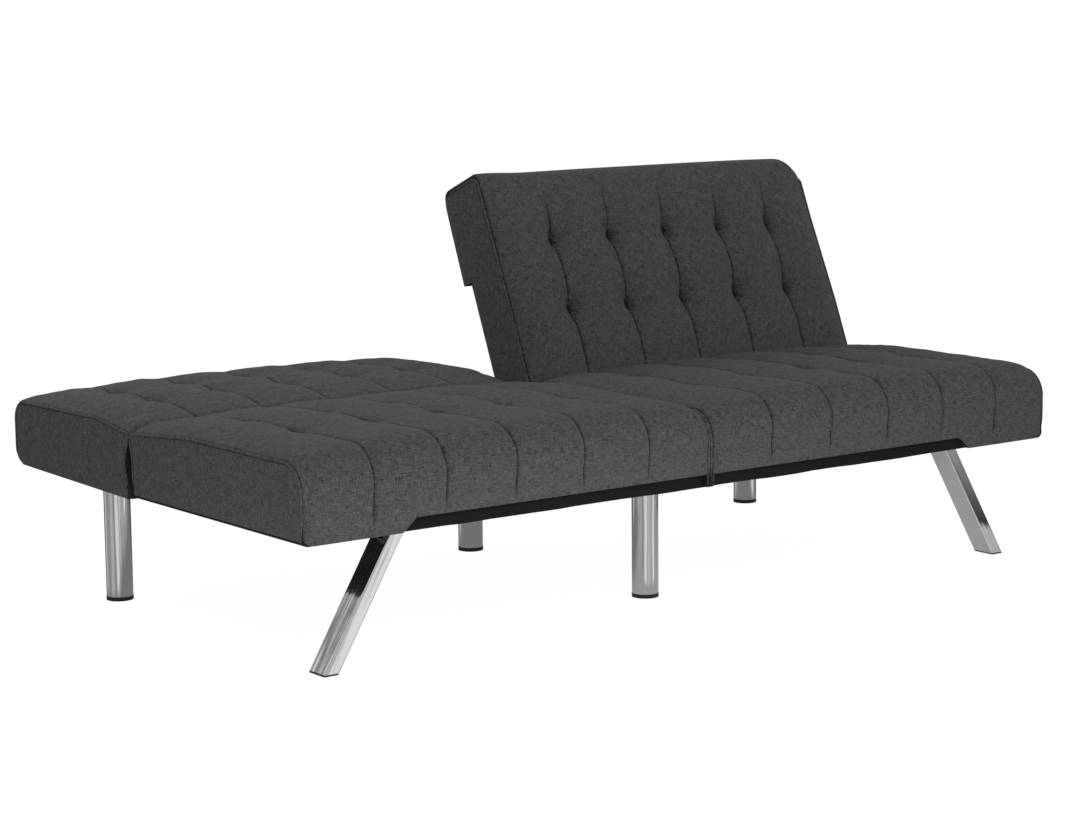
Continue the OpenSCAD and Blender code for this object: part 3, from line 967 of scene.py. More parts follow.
    def end_panel(self, ring: np.ndarray, outer: bool) -> tuple[np.ndarray, np.ndarray, np.ndarray]:
        """Closes one end: each inner point blends the four sides of the ring and bulges a little.

        Args:
            ring: The end's loop points.
            outer: Whether it is the outer end.

        Returns:
            The new inner points, the panel's grid of numbers with inner ones counted from the ring's length,
            and the cloth coordinates of the grid.
        """
        n, m, total = self.near_steps, self.top_steps, len(ring)
        a = np.linspace(0, 1, n + 1)[:, None, None]
        b = np.linspace(0, 1, m + 1)[None, :, None]
        near, top = ring[: n + 1], ring[n : n + m + 1]
        far = ring[n + m : 2 * n + m + 1][::-1]
        low = ring[(2 * n + m + m - np.arange(m + 1)) % total]
        filled = ((1 - b) * near[:, None] + b * far[:, None] + (1 - a) * low[None] + a * top[None]
                  - (1 - a) * (1 - b) * near[0] - a * (1 - b) * near[-1]
                  - (1 - a) * b * far[0] - a * b * far[-1])
        dome = (16 * a * (1 - a) * b * (1 - b))[..., 0] ** 0.4
        filled[..., 0] += dome * self.panel_bulge(filled[..., 1], filled[..., 2], outer)
        number = np.empty((n + 1, m + 1), int)
        number[:, 0] = np.arange(n + 1)
        number[-1] = n + np.arange(m + 1)
        number[:, -1] = n + m + n - np.arange(n + 1)
        number[0] = (2 * n + m + m - np.arange(m + 1)) % total
        number[1:-1, 1:-1] = total + np.arange((n - 1) * (m - 1)).reshape(n - 1, m - 1)
        return filled[1:-1, 1:-1].reshape(-1, 3), number, filled[..., 1:]

    def panel_bulge(self, y: np.ndarray, z: np.ndarray, outer: bool) -> np.ndarray:
        """How far an end panel stands out along X; the inner ends are pressed flat by their neighbour."""
        if not outer:
            return 0.25 * waves(y, z, 60, self.seed + 3)
        return 3.2 + 0.9 * waves(y, z, 70, self.seed + 5)

    def build(self) -> None:
        """Makes the cover, its welts and its stitches."""
        points, x, run, loop = self.surface()
        rows, columns, _ = points.shape
        i, j = np.divmod(np.arange((rows - 1) * columns), columns)
        under = run[self.upper - 1] + np.arange(columns - self.upper + 1) * 5.0
        around = np.concatenate([run[: self.upper], under])
        corner = lambda di, dj: np.stack([x[i + di], around[j + dj]], -1)
        everything = [points.reshape(-1, 3)]
        all_quads = [grid_quads(rows, columns, around=True)]
        all_uv = [np.stack([corner(0, 0), corner(1, 0), corner(1, 1), corner(0, 1)], axis=1)]
        all_slots = [(j >= self.upper).astype(int)]
        # Weights of the painted shade in the linen's colour.
        deep = [self.painted_shade_depth(x[:, None], run[None], loop).ravel()]
        count = rows * columns
        for row, outer in ((0, False), (rows - 1, True)):
            inner, number, cloth = self.end_panel(points[row], outer)
            number = np.where(number < columns, number + row * columns, number - columns + count)
            count += len(inner)
            here, after = slice(None, -1), slice(1, None)
            corners = ((here, here), (here, after), (after, after), (after, here))
            faces = np.stack([number[c] for c in corners], -1).reshape(-1, 4)
            flat = np.stack([cloth[c] for c in corners], -2).reshape(-1, 4, 2)
            if not outer:
                faces, flat = faces[:, ::-1], flat[:, ::-1]
            everything.append(inner)
            deep.append(np.zeros(len(inner)))
            all_quads.append(faces)
            all_uv.append(flat)
            all_slots.append(np.zeros(len(faces), int))
        mesh, faces, cloth, slots = (np.concatenate(p) for p in (everything, all_quads, all_uv, all_slots))
        obj = self.place(f"{self.name}_cover", mesh, faces, cloth, slots, True)
        # Painted shade: the linen darkens its colour by this point attribute.
        crease = obj.data.attributes.new("crease", "FLOAT", "POINT")
        crease.data.foreach_set("value", np.concatenate(deep).astype(np.float32))
        self.build_welts(points)
        self.build_stitches(points, x, run)

    def place(self, name: str, points: np.ndarray, quads: np.ndarray, uv: np.ndarray,
              slots: Optional[np.ndarray] = None, cover: bool = False) -> bpy.types.Object:
        """Mirrors and raises a mesh as its module is, and makes the piece.

        Args:
            name: Name of the piece.
            points: Points in the flat right-hand module.
            quads: Corner numbers.
            uv: Cloth coordinates of the corners.
            slots: Number of each quad's material.
            cover: Whether it is the cover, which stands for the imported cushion.

        Returns:
            The piece.
        """
        points, quads = on_side(points, quads, self.side)
        if self.side is Side.LEFT:
            uv = uv[:, ::-1]
        points = raised_by(points, self.raised)
        materials = [self.shop.of(Slot.LINEN)] + [self.shop.of(Slot.BLACK_CLOTH)] * cover
        obj = new_piece(name, points, quads, materials, uv, slots)
        self.shop.fit(obj, Slot.LINEN, self.body, *([self.node] if cover else []))
        return obj

    def build_welts(self, points: np.ndarray) -> None:
        """Piping along the three upper edges of both ends: a tube that follows the cover's edge.

        Args:
            points: Points by x and loop station.
        """
        parts = []
        for row, shift in ((0, 1.9), (-1, -0.2)):
            edge = points[row]
            sewn = self.welted(edge[: self.upper + 1])
            out = self.outward(edge[None])[0, sewn]
            line = edge[sewn] + out * 1.3 + np.array([shift, 0, 0])
            across = np.tile([1.0, 0.0, 0.0], (len(line), 1))
            along = lengths(line)
            taper = 0.15 + 0.85 * ramp(np.minimum(along, along[-1] - along), 0, 24)
            parts.append(tube_mesh(line, out, across, self.welt_radius * taper))
        mesh, quads = merged(parts)
        span = np.stack([mesh[:, 1] + mesh[:, 0], mesh[:, 2]], -1)
        self.place(f"{self.name}_welts", mesh, quads, span[quads])

    def welted(self, edge: np.ndarray) -> slice:
        """The stations of an end's edge that the piping follows: all but the lowest."""
        high = np.flatnonzero(edge[:, 2] > self.welt_foot)
        return slice(high[0], high[-1] + 1)

    def build_stitches(self, points: np.ndarray, x: np.ndarray, run: np.ndarray) -> None:
        """Thread along the quilting seams: small square stitches, end to end, sunk into the groove.

        Args:
            points: Points by x and loop station.
            x: Places along X.
            run: Lengths along the outline.
        """
        pitch, half, width = 5.2, 2.0, 0.231
        parts = []
        for k in range(1, 6):
            column = points[np.abs(x - k * self.seam_gap).argmin()]
            weight = self.cover(np.array([[k * self.seam_gap]]), run[None], column[:, 1:])["seam"][0]
            sewn = np.flatnonzero(weight > 0.4)
            line = column[sewn.min() : sewn.max() + 1]
            out = self.outward(column[None])[0, sewn.min() : sewn.max() + 1]
            length = lengths(line)
            centre = np.arange(pitch, length[-1] - pitch, pitch)
            at = lambda values, s: np.stack([np.interp(s, length, values[:, c]) for c in range(3)], -1)
            mid, normal = at(line, centre), at(out, centre)
            along = at(line, centre + 1) - at(line, centre - 1)
            along /= np.linalg.norm(along, axis=-1, keepdims=True)
            across = np.cross(along, normal)
            # Eight corners a stitch: four at each end.
            corners = [mid + along * step + across * u * width + normal * (v * width + 0.25)
                       for step in (-half, half) for u, v in ((-1, -1), (1, -1), (1, 1), (-1, 1))]
            bead = np.stack(corners, axis=1)
            faces = np.array([[0, 1, 5, 4], [1, 2, 6, 5], [2, 3, 7, 6], [3, 0, 4, 7],
                              [3, 2, 1, 0], [4, 5, 6, 7]])
            numbers = (np.arange(len(centre)) * 8)[:, None, None] + faces[None]
            parts.append((bead.reshape(-1, 3), numbers.reshape(-1, 4)[:, ::-1]))
        mesh, quads = merged(parts)
        span = np.stack([mesh[:, 0], mesh[:, 1]], -1)
        self.place(f"{self.name}_stitches", mesh, quads, span[quads])


@dataclass
class SeatCushion(Cushion):
    """A seat: its front skirt hangs over the base, and its outer panel reaches down past the rails."""

    front_y: float = -520.0
    rear_y: float = 56.0
    low: float = 234.0
    over_base: float = 259.0
    flat_z: float = 370.0
    hinge_edge: float = 352.0
    seam_gap: float = 146.0
    puff: float = 3.8
    tuft_depth: float = 11.0
    seam_shade: float = 0.35
    front_radius: float = 52.0
    slant: tuple[float, float] = (635.0, 663.0)
    bevelled: float = 0.0

    def outline(self) -> tuple[np.ndarray, list[float]]:
        """Front face up, top, and hinge face down.

        Returns:
            Points in YZ, and the lengths where the top starts and ends.
        """
        line, (start, _, end) = rounded_path(
            [(self.front_y, self.low), (self.front_y, self.flat_z), (-150, self.flat_z),
             (self.rear_y, self.hinge_edge), (self.rear_y, self.low)],
            [self.front_radius, 260, 13])
        return line, [start, end]

    def underside(self, x: np.ndarray, points: np.ndarray) -> np.ndarray:
        """Lifts the loop's foot on to the base, and leaves the skirt hanging in front of it.

        Args:
            x: Column of places along X.
            points: Points by x and loop station.

        Returns:
            The points, fitted.
        """
        n, m = self.near_steps, self.top_steps
        rounded = lambda radius, start, reach: arc_drop(np.clip(x - start, 0, reach), radius)
        floor = np.where(x < SKIN_X, self.over_base, self.low + rounded(13, 857, 12))
        strip = ramp(x, 7.2, 8.8)
        band = strip * (1 - np.clip((x - self.slant[0]) / (self.slant[1] - self.slant[0]), 0, 1))
        hem = self.low + (self.over_base - 1.5 - self.low) * band + rounded(26, 845, 24)
        y, z = points[..., 1], points[..., 2]
        front = np.minimum(ramp(-y, 500, 505), 1)
        foot = hem * front + floor * (1 - front)
        fixed = 312.0
        points[..., 2] = np.where(z < fixed, foot + (z - self.low) * (fixed - foot) / (fixed - self.low), z)
        if points.shape[1] > 2 * n + m:
            start = 2 * n + m
            last = m - 7
            points[:, start : start + last, 1] = np.linspace(self.rear_y, -503, last)[None]
            points[:, start : start + last, 2] = floor
            points[:, start + last :, 1] = np.array([-506, -509.4, -509.9, -511.5, -514, -516.5, -518.8])
            points[:, start + last : start + last + 2, 2] = floor
            points[:, start + last + 2 :, 2] = np.minimum(hem, floor)
        y, z = points[..., 1], points[..., 2]
        slit = ramp(x, 770, self.outer_x) * ramp(y, 30, 54)
        points[..., 1] = y - 9.0 * slit * ramp(z, 350, 296)
        points[..., 2] = z + 12.0 * slit * ramp(z, 262, 234) * ramp(y, 38, 56)
        return points

    def cover(self, x: np.ndarray, run: np.ndarray, loop: np.ndarray) -> dict[str, np.ndarray]:
        """Crown over the top, puff and seams on front and top, and a pillowed front face.

        Args:
            x: Column of places along X.
            run: Row of lengths along the outline.
            loop: The loop's stations in YZ.

        Returns:
            Weights by name, and the extra height.
        """
        line, (start, end) = self.outline()
        y = loop[None, :, 0] * np.ones_like(x)
        total = lengths(line)[-1]
        shut = ramp(run, end + 14, end - 16)
        crown = ramp(run, start - 70, start + 55) * (1 - 0.15 * ramp(run, end - 90, end - 20)) * shut
        seam = ramp(run, 6, 40) * shut
        middle = 1 - np.abs(2 * (x - self.inner_x) / (self.outer_x - self.inner_x) - 1) ** 4
        face = 3.4 * middle * np.sin(math.pi * np.clip(run / (start + 30), 0, 1))
        bevel = -self.bevelled * ramp(y, 26, self.rear_y) * (run < total) * (run > start)
        seam = seam * np.ones_like(x)
        return {"crown": crown, "seam": seam, "top": seam, "extra": face + bevel}

    def hinge_face(self, run: np.ndarray) -> np.ndarray:
        """The last side of the outline."""
        end = self.outline()[1][1]
        return ramp(run, end + 8, end + 20)

    def pressed(self, run: np.ndarray, end: float) -> np.ndarray:
        """The hinge face lies against the back."""
        return run > end - 6


@dataclass
class BackCushion(Cushion):
    """A back, drawn laid flat: its underside is stepped where it rests on the base."""

    near_y: float = 58.0
    rear_y: float = 520.0
    hinge_edge: float = 352.0
    low_near: float = 231.0
    low_rear: float = 240.0
    notch_z: float = 262.0
    step_y: float = 320.0
    bevelled: float = 0.0
    corner: float = 12.0
    drawn_in: float = 0.0
    far_radii: tuple[float, float] = (36.0, 28.0)

    def outline(self, far_radii: Optional[tuple[float, float]] = None) -> tuple[np.ndarray, list[float]]:
        """Hinge face up, top to the far edge, and rear face down to the lower corner.

        Args:
            far_radii: Radii of the far edge, upper and lower, or none for its own.

        Returns:
            Points in YZ, and the lengths where the top starts and ends.
        """
        upper, lower = far_radii or self.far_radii
        line, (start, _, end, _) = rounded_path(
            [(self.near_y, self.low_near), (self.near_y, self.hinge_edge), (185, 367), (self.rear_y, 361),
             (self.rear_y, self.low_rear), (420, self.low_at(420))],
            [13, 200, upper, lower])
        run = lengths(line)
        keep = run <= run[-1] - (self.rear_y - lower - 420)
        return line[keep], [start, end]

    def plain(self, x: np.ndarray, loop: np.ndarray) -> np.ndarray:
        """The loop along X: its far corners tighten towards the inner end, and its outer end is drawn in.

        The skirt below the notch isn't drawn in, so it still clears the base when the back is laid flat.

        Args:
            x: Places along X.
            loop: The loop's stations in YZ.

        Returns:
            Points by x and loop station.
        """
        points = super().plain(x, loop)
        line, (_, end) = self.outline()
        tight, (_, tight_end) = self.outline((17.0, 13.0))
        run = lengths(line)
        near = np.flatnonzero((loop[:, 0] > 440) & (np.arange(len(loop)) < self.upper))
        place = lengths(loop)[near]
        total, tight_total = run[-1], lengths(tight)[-1]
        first = place[0]
        known = [0, first, end, total]
        wanted = [0, first, tight_end, tight_total]
        moved = at_lengths(tight, np.interp(place, known, wanted))
        share = ramp(x, 150, self.inner_x)[:, None, None]
        points[:, near, 1:] += share * (moved - loop[near])[None]
        strained = self.drawn_in * (0.5 + 0.5 * (points[..., 1] - self.near_y) / (self.rear_y - self.near_y))
        points[..., 0] -= strained * ramp(x, 640, self.outer_x)[:, None] * ramp(points[..., 2], 266, 318)
        return points

    def low_at(self, y: Any) -> Any:
        """Height of the lower surface at y."""
        slope = (self.low_rear - self.low_near) / (self.rear_y - self.near_y)
        return self.low_near + slope * (y - self.near_y)

    def underside(self, x: np.ndarray, points: np.ndarray) -> np.ndarray:
        """Lifts the foot of the hinge face to the notch, and steps the underside behind it.

        Args:
            x: Column of places along X.
            points: Points by x and loop station.

        Returns:
            The points, fitted.
        """
        n, m = self.near_steps, self.top_steps
        foot = np.where(x < SKIN_X, self.notch_z, self.low_near)
        y, z = points[..., 1], points[..., 2]
        fixed = 320.0
        lifted = foot + (z - self.low_near) * (fixed - foot) / (fixed - self.low_near)
        points[..., 2] = np.where((y < 75) & (z < fixed), lifted, z)
        if points.shape[1] > 2 * n + m:
            start = 2 * n + m
            behind = round(m * 0.38)
            y_end = points[:1, start - 1, 1]
            rear = np.linspace(float(y_end[0]) - 4, self.step_y + 0.8, behind)
            ahead = np.linspace(self.step_y, self.near_y + 4, m - behind)
            points[:, start:, 1] = np.concatenate([rear, ahead])[None]
            points[:, start : start + behind, 2] = self.low_at(rear)[None]
            notch = np.where(x < SKIN_X, self.notch_z, self.low_at(ahead)[None])
            points[:, start + behind :, 2] = notch
        y, z = points[..., 1], points[..., 2]
        for radius, inside in ((self.corner, self.outer_x - x), (9.0, x - self.inner_x)):
            y = y - arc_drop(np.clip(radius - inside, 0, radius), radius) * ramp(y, 420, 512)
        slit = ramp(x, 770, self.outer_x) * ramp(y, 100, 60) * ramp(z, 350, 300)
        points[..., 1] = y + 17.0 * slit * (1 - 0.75 * ramp(z, 290, 246))
        return points

    def cover(self, x: np.ndarray, run: np.ndarray, loop: np.ndarray) -> dict[str, np.ndarray]:
        """Crown over the top, seams that fade towards the far edge, and a pillowed rear face.

        Args:
            x: Column of places along X.
            run: Row of lengths along the outline.
            loop: The loop's stations in YZ.

        Returns:
            Weights by name, and the extra height.
        """
        line, (start, end) = self.outline()
        y = loop[None, :, 0] * np.ones_like(x)
        total = lengths(line)[-1]
        shut = ramp(run, start - 14, start + 16)
        crown = shut * (1 - 0.15 * ramp(run, start + 90, start + 20)) * ramp(run, end + 40, end - 60)
        sewn = shut * (0.15 + 0.85 * ramp(run, end - 40, end - 125)) * ramp(run, end - 6, end - 45)
        middle = 1 - np.abs(2 * (x - self.inner_x) / (self.outer_x - self.inner_x) - 1) ** 4
        behind = np.clip((run - end) / (total - end), 0, 1)
        face = 4.5 * middle * np.sin(math.pi * behind)
        bevel = -self.bevelled * ramp(y, 84, self.near_y) * (run > 0) * (run < end)
        top = shut * ramp(run, end + 10, end - 30)
        ones = np.ones_like(x)
        return {"crown": crown, "seam": sewn * ones, "top": top * ones, "extra": face + bevel}

    def hinge_face(self, run: np.ndarray) -> np.ndarray:
        """The first side of the outline."""
        start = self.outline()[1][0]
        return ramp(run, start - 8, start - 20)

    def rimmed(self, x: np.ndarray, run: np.ndarray) -> np.ndarray:
        """A widely rounded far corner has no tuck: the cloth runs round it on to the panel."""
        end = self.outline()[1][1]
        return 1 - ramp(run, end - 150, end - 30) * (x > 400) * float(self.corner > 20)

    def pressed(self, run: np.ndarray, end: float) -> np.ndarray:
        """The hinge face lies against the seat."""
        _, (start, _) = self.outline()
        return run < start + 6

    def slack(self, run: np.ndarray, end: float) -> np.ndarray:
        """The cloth is stretched over the frame's far edge, where it hardly swells."""
        return 0.15 + 0.85 * ramp(np.abs(run - end - 20), 40, 130)

    def panel_bulge(self, y: np.ndarray, z: np.ndarray, outer: bool) -> np.ndarray:
        """The outer panel is gathered into short upright folds beside the seat.

        Args:
            y: Places along Y.
            z: Heights.
            outer: Whether it is the outer end.

        Returns:
            How far each point stands out.
        """
        plain = super().panel_bulge(y, z, outer)
        if not outer:
            return plain
        folds = np.sin(z / 2.6 + y / 6.5 + 0.8 * np.sin(z / 9.0)) * bell(y - self.near_y - 16, 17)
        return plain + 3.6 * folds * ramp(z, 325, 285)


# ---------------------------------------------------------------- cloth on the base and backs


def stapled_sheet(shop: Workshop, name: str, node: str, body: str, mesh: tuple[np.ndarray, np.ndarray]) -> None:
    """Makes a thin black cloth that is stapled to the frame.

    Args:
        shop: The finishes.
        name: Name of the piece.
        node: CAD node it stands for.
        body: Body it rides on.
        mesh: Points and quads of one or more closed sheets.
    """
    obj = new_piece(name, *mesh, [shop.of(Slot.BLACK_CLOTH)])
    shop.fit(obj, Slot.BLACK_CLOTH, body, node)


@dataclass
class BaseCloth:
    """Black cloth stapled to the base: the front band, the dust cover under it and the wrap at its rear."""

    shop: Workshop

    def build(self) -> None:
        """Makes the three cloths."""
        self.band()
        self.dust_cover()
        self.rear_wrap()

    def band(self) -> None:
        """The band on the front rail: y ripples by a fraction of a millimetre, and its ends slant inwards."""
        low, high = box_mm("front_band")
        half, slant = high.x, 28.0
        u = np.linspace(-1, 1, 300)[:, None]
        v = np.linspace(0, 1, 9)[None]
        x = u * (half - slant * v)
        y = low.y + 0.35 + 0.3 * waves(x, 60 * v, 120, 11) * np.sin(math.pi * v)
        z = low.z + (high.z - low.z) * v - (1.0 + 0.8 * waves(x, v * 0, 170, 12)) * (1 - v)
        top = np.stack([x, y, z + 0 * x], -1)
        stapled_sheet(self.shop, "front_band_cloth", "front_band", "base", closed_sheet(top, [0, 0.9, 0]))

    def dust_cover(self) -> None:
        """The cloth under the base sags by up to 2 mm between the rails: a product of sines in each bay."""
        low, high = box_mm("base_dust_cover")
        x = np.linspace(low.x, high.x, 260)[:, None]
        y = np.linspace(low.y, high.y, 130)[None]
        across = np.sin(math.pi * np.clip((np.abs(x) - 50) / 688, 0, 1))
        front = np.sin(math.pi * np.clip((y + 414) / 415, 0, 1))
        rear = np.sin(math.pi * np.clip((y - 80) / 140, 0, 1))
        sag = (2.0 * across * (front + 0.5 * rear)) * (1 + 0.2 * waves(x, y, 160, 13))
        clear = 1 - bell(np.hypot(np.abs(x) - 654, y + 453), 90)
        z = low.z - np.maximum(sag * clear, 0)
        top = np.stack([x + 0 * y, y + 0 * x, z], -1)[:, ::-1]
        sheet = closed_sheet(top, [0, 0, 0.7])
        stapled_sheet(self.shop, "base_dust_cloth", "base_dust_cover", "base", sheet)

    def rear_wrap(self) -> None:
        """The cloth over the base's rear: a rounded profile in YZ carried along X, and a flap at each end."""
        low, high = box_mm("base_rear_cover")
        line, _ = rounded_path([(low.y, high.z), (high.y, high.z), (high.y, low.z)], [1.2])
        turn = high.y - low.y - 1.2 + np.linspace(0, 1.9, 5)
        run = np.union1d(np.linspace(0, lengths(line)[-1], 60), turn)
        profile = at_lengths(line, run)
        x = np.linspace(low.x, high.x, 240)[:, None]
        pucker = np.clip(0.35 + 0.35 * waves(x, run[None], 45, 14), 0, 0.9) * ramp(run, 0, 40)
        top = np.stack([x + 0 * run, profile[None, :, 0] + 0 * x, profile[None, :, 1] + 0 * x], -1)
        top[..., 2] += pucker * (run < high.y - low.y - 4)
        parts = [closed_sheet(top, [0, -0.4, -0.4])]
        y, z = np.linspace(low.y - 9, high.y, 60)[:, None], np.linspace(low.z, high.z, 9)[None]
        ripple = 0.25 * np.abs(waves(y, z, 40, 15)) * np.sin(math.pi * (z - low.z) / (high.z - low.z))
        for way in (-1, 1):
            flap = np.stack([way * (high.x + ripple), y + 0 * z, z + 0 * y], -1)[::way]
            parts.append(closed_sheet(flap, [-0.4 * way, 0, 0]))
        stapled_sheet(self.shop, "base_rear_cloth", "base_rear_cover", "base", merged(parts))


def closed_sheet(top: np.ndarray, thick: Sequence[float]) -> tuple[np.ndarray, np.ndarray]:
    """A grid and its copy moved by a vector, joined all round their rim.

    Args:
        top: Rows by columns by three points; rows x columns faces the outside.
        thick: Vector to the copy.

    Returns:
        Points and quads.
    """
    rows, columns, _ = top.shape
    face = grid_quads(rows, columns)
    back = face[:, ::-1] + rows * columns
    index = np.arange(rows * columns).reshape(rows, columns)
    rim = np.concatenate([index[0, :-1], index[:-1, -1], index[-1, :0:-1], index[:0:-1, 0]])
    after = np.roll(rim, -1)
    wall = np.stack([rim, after, after + rows * columns, rim + rows * columns], -1)
    points = np.concatenate([top.reshape(-1, 3), top.reshape(-1, 3) + np.array(thick)])
    return points, np.concatenate([face, back, wall])


@dataclass
class BackCloth:
    """The black cloth stapled under a back, inside the notch that rests on the base."""

    shop: Workshop
    side: Side
    raised: float

    def build(self) -> None:
        """Makes the cloth: a flat grid with faint pulls towards its staples."""
        word = self.side.name.lower()
        x = np.linspace(3, 834, 160)[:, None]
        y = np.linspace(60, 319, 56)[None]
        z = 261.15 + 0.12 * waves(x, y, 50, 21)
        top = np.stack([x + 0 * y, y + 0 * x, z], -1)[:, ::-1]
        points, quads = on_side(*closed_sheet(top, [0, 0, 0.6]), self.side)
        stapled_sheet(self.shop, f"{word}_back_dust_cloth", f"{word}_back_dust_cover", f"{word}_back",
                      (raised_by(points, self.raised), quads))


# ---------------------------------------------------------------- legs


@dataclass
class RoundLeg:
    """A chromed tube with a rolled foot, closed by a disc at the top."""

    shop: Workshop
    node: str
    diameter: float = 50.0
    wall: float = 1.5
    edge: float = 0.9
    sides: int = 128

    def build(self) -> None:
        """Turns the tube's profile about its axis: outer wall, disc at the top, inner wall, round foot."""
        low, high = box_mm(self.node)
        cx, cy = (low.x + high.x) / 2, (low.y + high.y) / 2
        r, w, e = self.diameter / 2, self.wall, self.edge
        hole, under = 4.2, high.z - 4
        outline = [(hole, high.z), (r, high.z), (r, low.z), (r - w, low.z), (r - w, under), (hole, under)]
        line, _ = rounded_path(outline, [e, 0.7, 0.7, 1.0])
        run = lengths(line)
        near = at_lengths(line, np.union1d(run, np.arange(0, run[-1], 12.0)))
        angle = np.linspace(0, 2 * math.pi, self.sides, endpoint=False)
        ring = np.stack([np.cos(angle), np.sin(angle)], -1)
        points = np.empty((len(near), self.sides, 3))
        points[..., :2] = near[:, None, :1] * ring[None] + np.array([cx, cy])
        points[..., 2] = near[:, None, 1]
        quads = ring_quads(len(near), self.sides)
        obj = new_piece(f"{self.node}_tube", points.reshape(-1, 3), quads, [self.shop.of(Slot.CHROME)])
        self.shop.fit(obj, Slot.CHROME, "base", self.node)


@dataclass
class AngledLeg:
    """A chromed flat oval-cornered tube that leans outwards, cut level at its foot and top."""

    shop: Workshop
    node: str
    side: Side
    foot_x: float = 791.5
    y: float = -453.0
    lean: float = 30.9
    width: float = 50.0
    thickness: float = 25.0
    corner: float = 2.6
    wall: float = 2.0

    def section(self, inset: float) -> np.ndarray:
        """A rounded rectangle: thickness by width, less the inset all round.

        Args:
            inset: How far inside the outer face it lies.

        Returns:
            Points round it, seen from above.
        """
        a, b, r = self.thickness / 2 - inset, self.width / 2 - inset, max(self.corner - inset, 0.5)
        t = np.linspace(0, math.pi / 2, 9)
        quarters = zip((0, math.pi / 2, math.pi, 1.5 * math.pi), ((1, 1), (-1, 1), (-1, -1), (1, -1)))
        corners = np.concatenate([
            np.array([sx * (a - r), sy * (b - r)]) + r * np.stack([np.cos(t + turn), np.sin(t + turn)], -1)
            for turn, (sx, sy) in quarters])
        closed = np.concatenate([corners, corners[:1]])
        extra = np.linspace(0, lengths(closed)[-1], 64, endpoint=False)
        return at_lengths(closed, np.unique(np.concatenate([lengths(closed)[:-1], extra])))

    def build(self) -> None:
        """Carries the section along the leaning axis; each height is a level cut, 1/cos(lean) wider in X."""
        low, high = box_mm(self.node)
        lean = math.radians(self.lean)
        shells = []
        for inset in (0.0, self.wall):
            ring = self.section(inset)
            z = np.linspace(low.z, high.z, 30)[:, None]
            x = self.foot_x - z * math.tan(lean) + ring[None, :, 0] / math.cos(lean)
            shells.append(np.stack([x, self.y + ring[None, :, 1] + 0 * z, z + 0 * x], -1))
        count = min(s.shape[1] for s in shells)
        shells = [s[:, np.linspace(0, s.shape[1] - 1, count).round().astype(int)] for s in shells]
        loop = np.concatenate([shells[0], shells[1][::-1]])
        quads = ring_quads(len(loop), count)[:, [0, 3, 2, 1]]
        points, quads = on_side(loop.reshape(-1, 3), quads, self.side)
        lean = self.lean * self.side.value
        chrome = PlatedSteel(f"bright_plated_steel_{self.side.name.lower()}", lean=lean).material()
        obj = new_piece(f"{self.node}_tube", points, quads, [chrome], sharp=35)
        self.shop.fit(obj, Slot.CHROME, "base", self.node)


# ---------------------------------------------------------------- studio


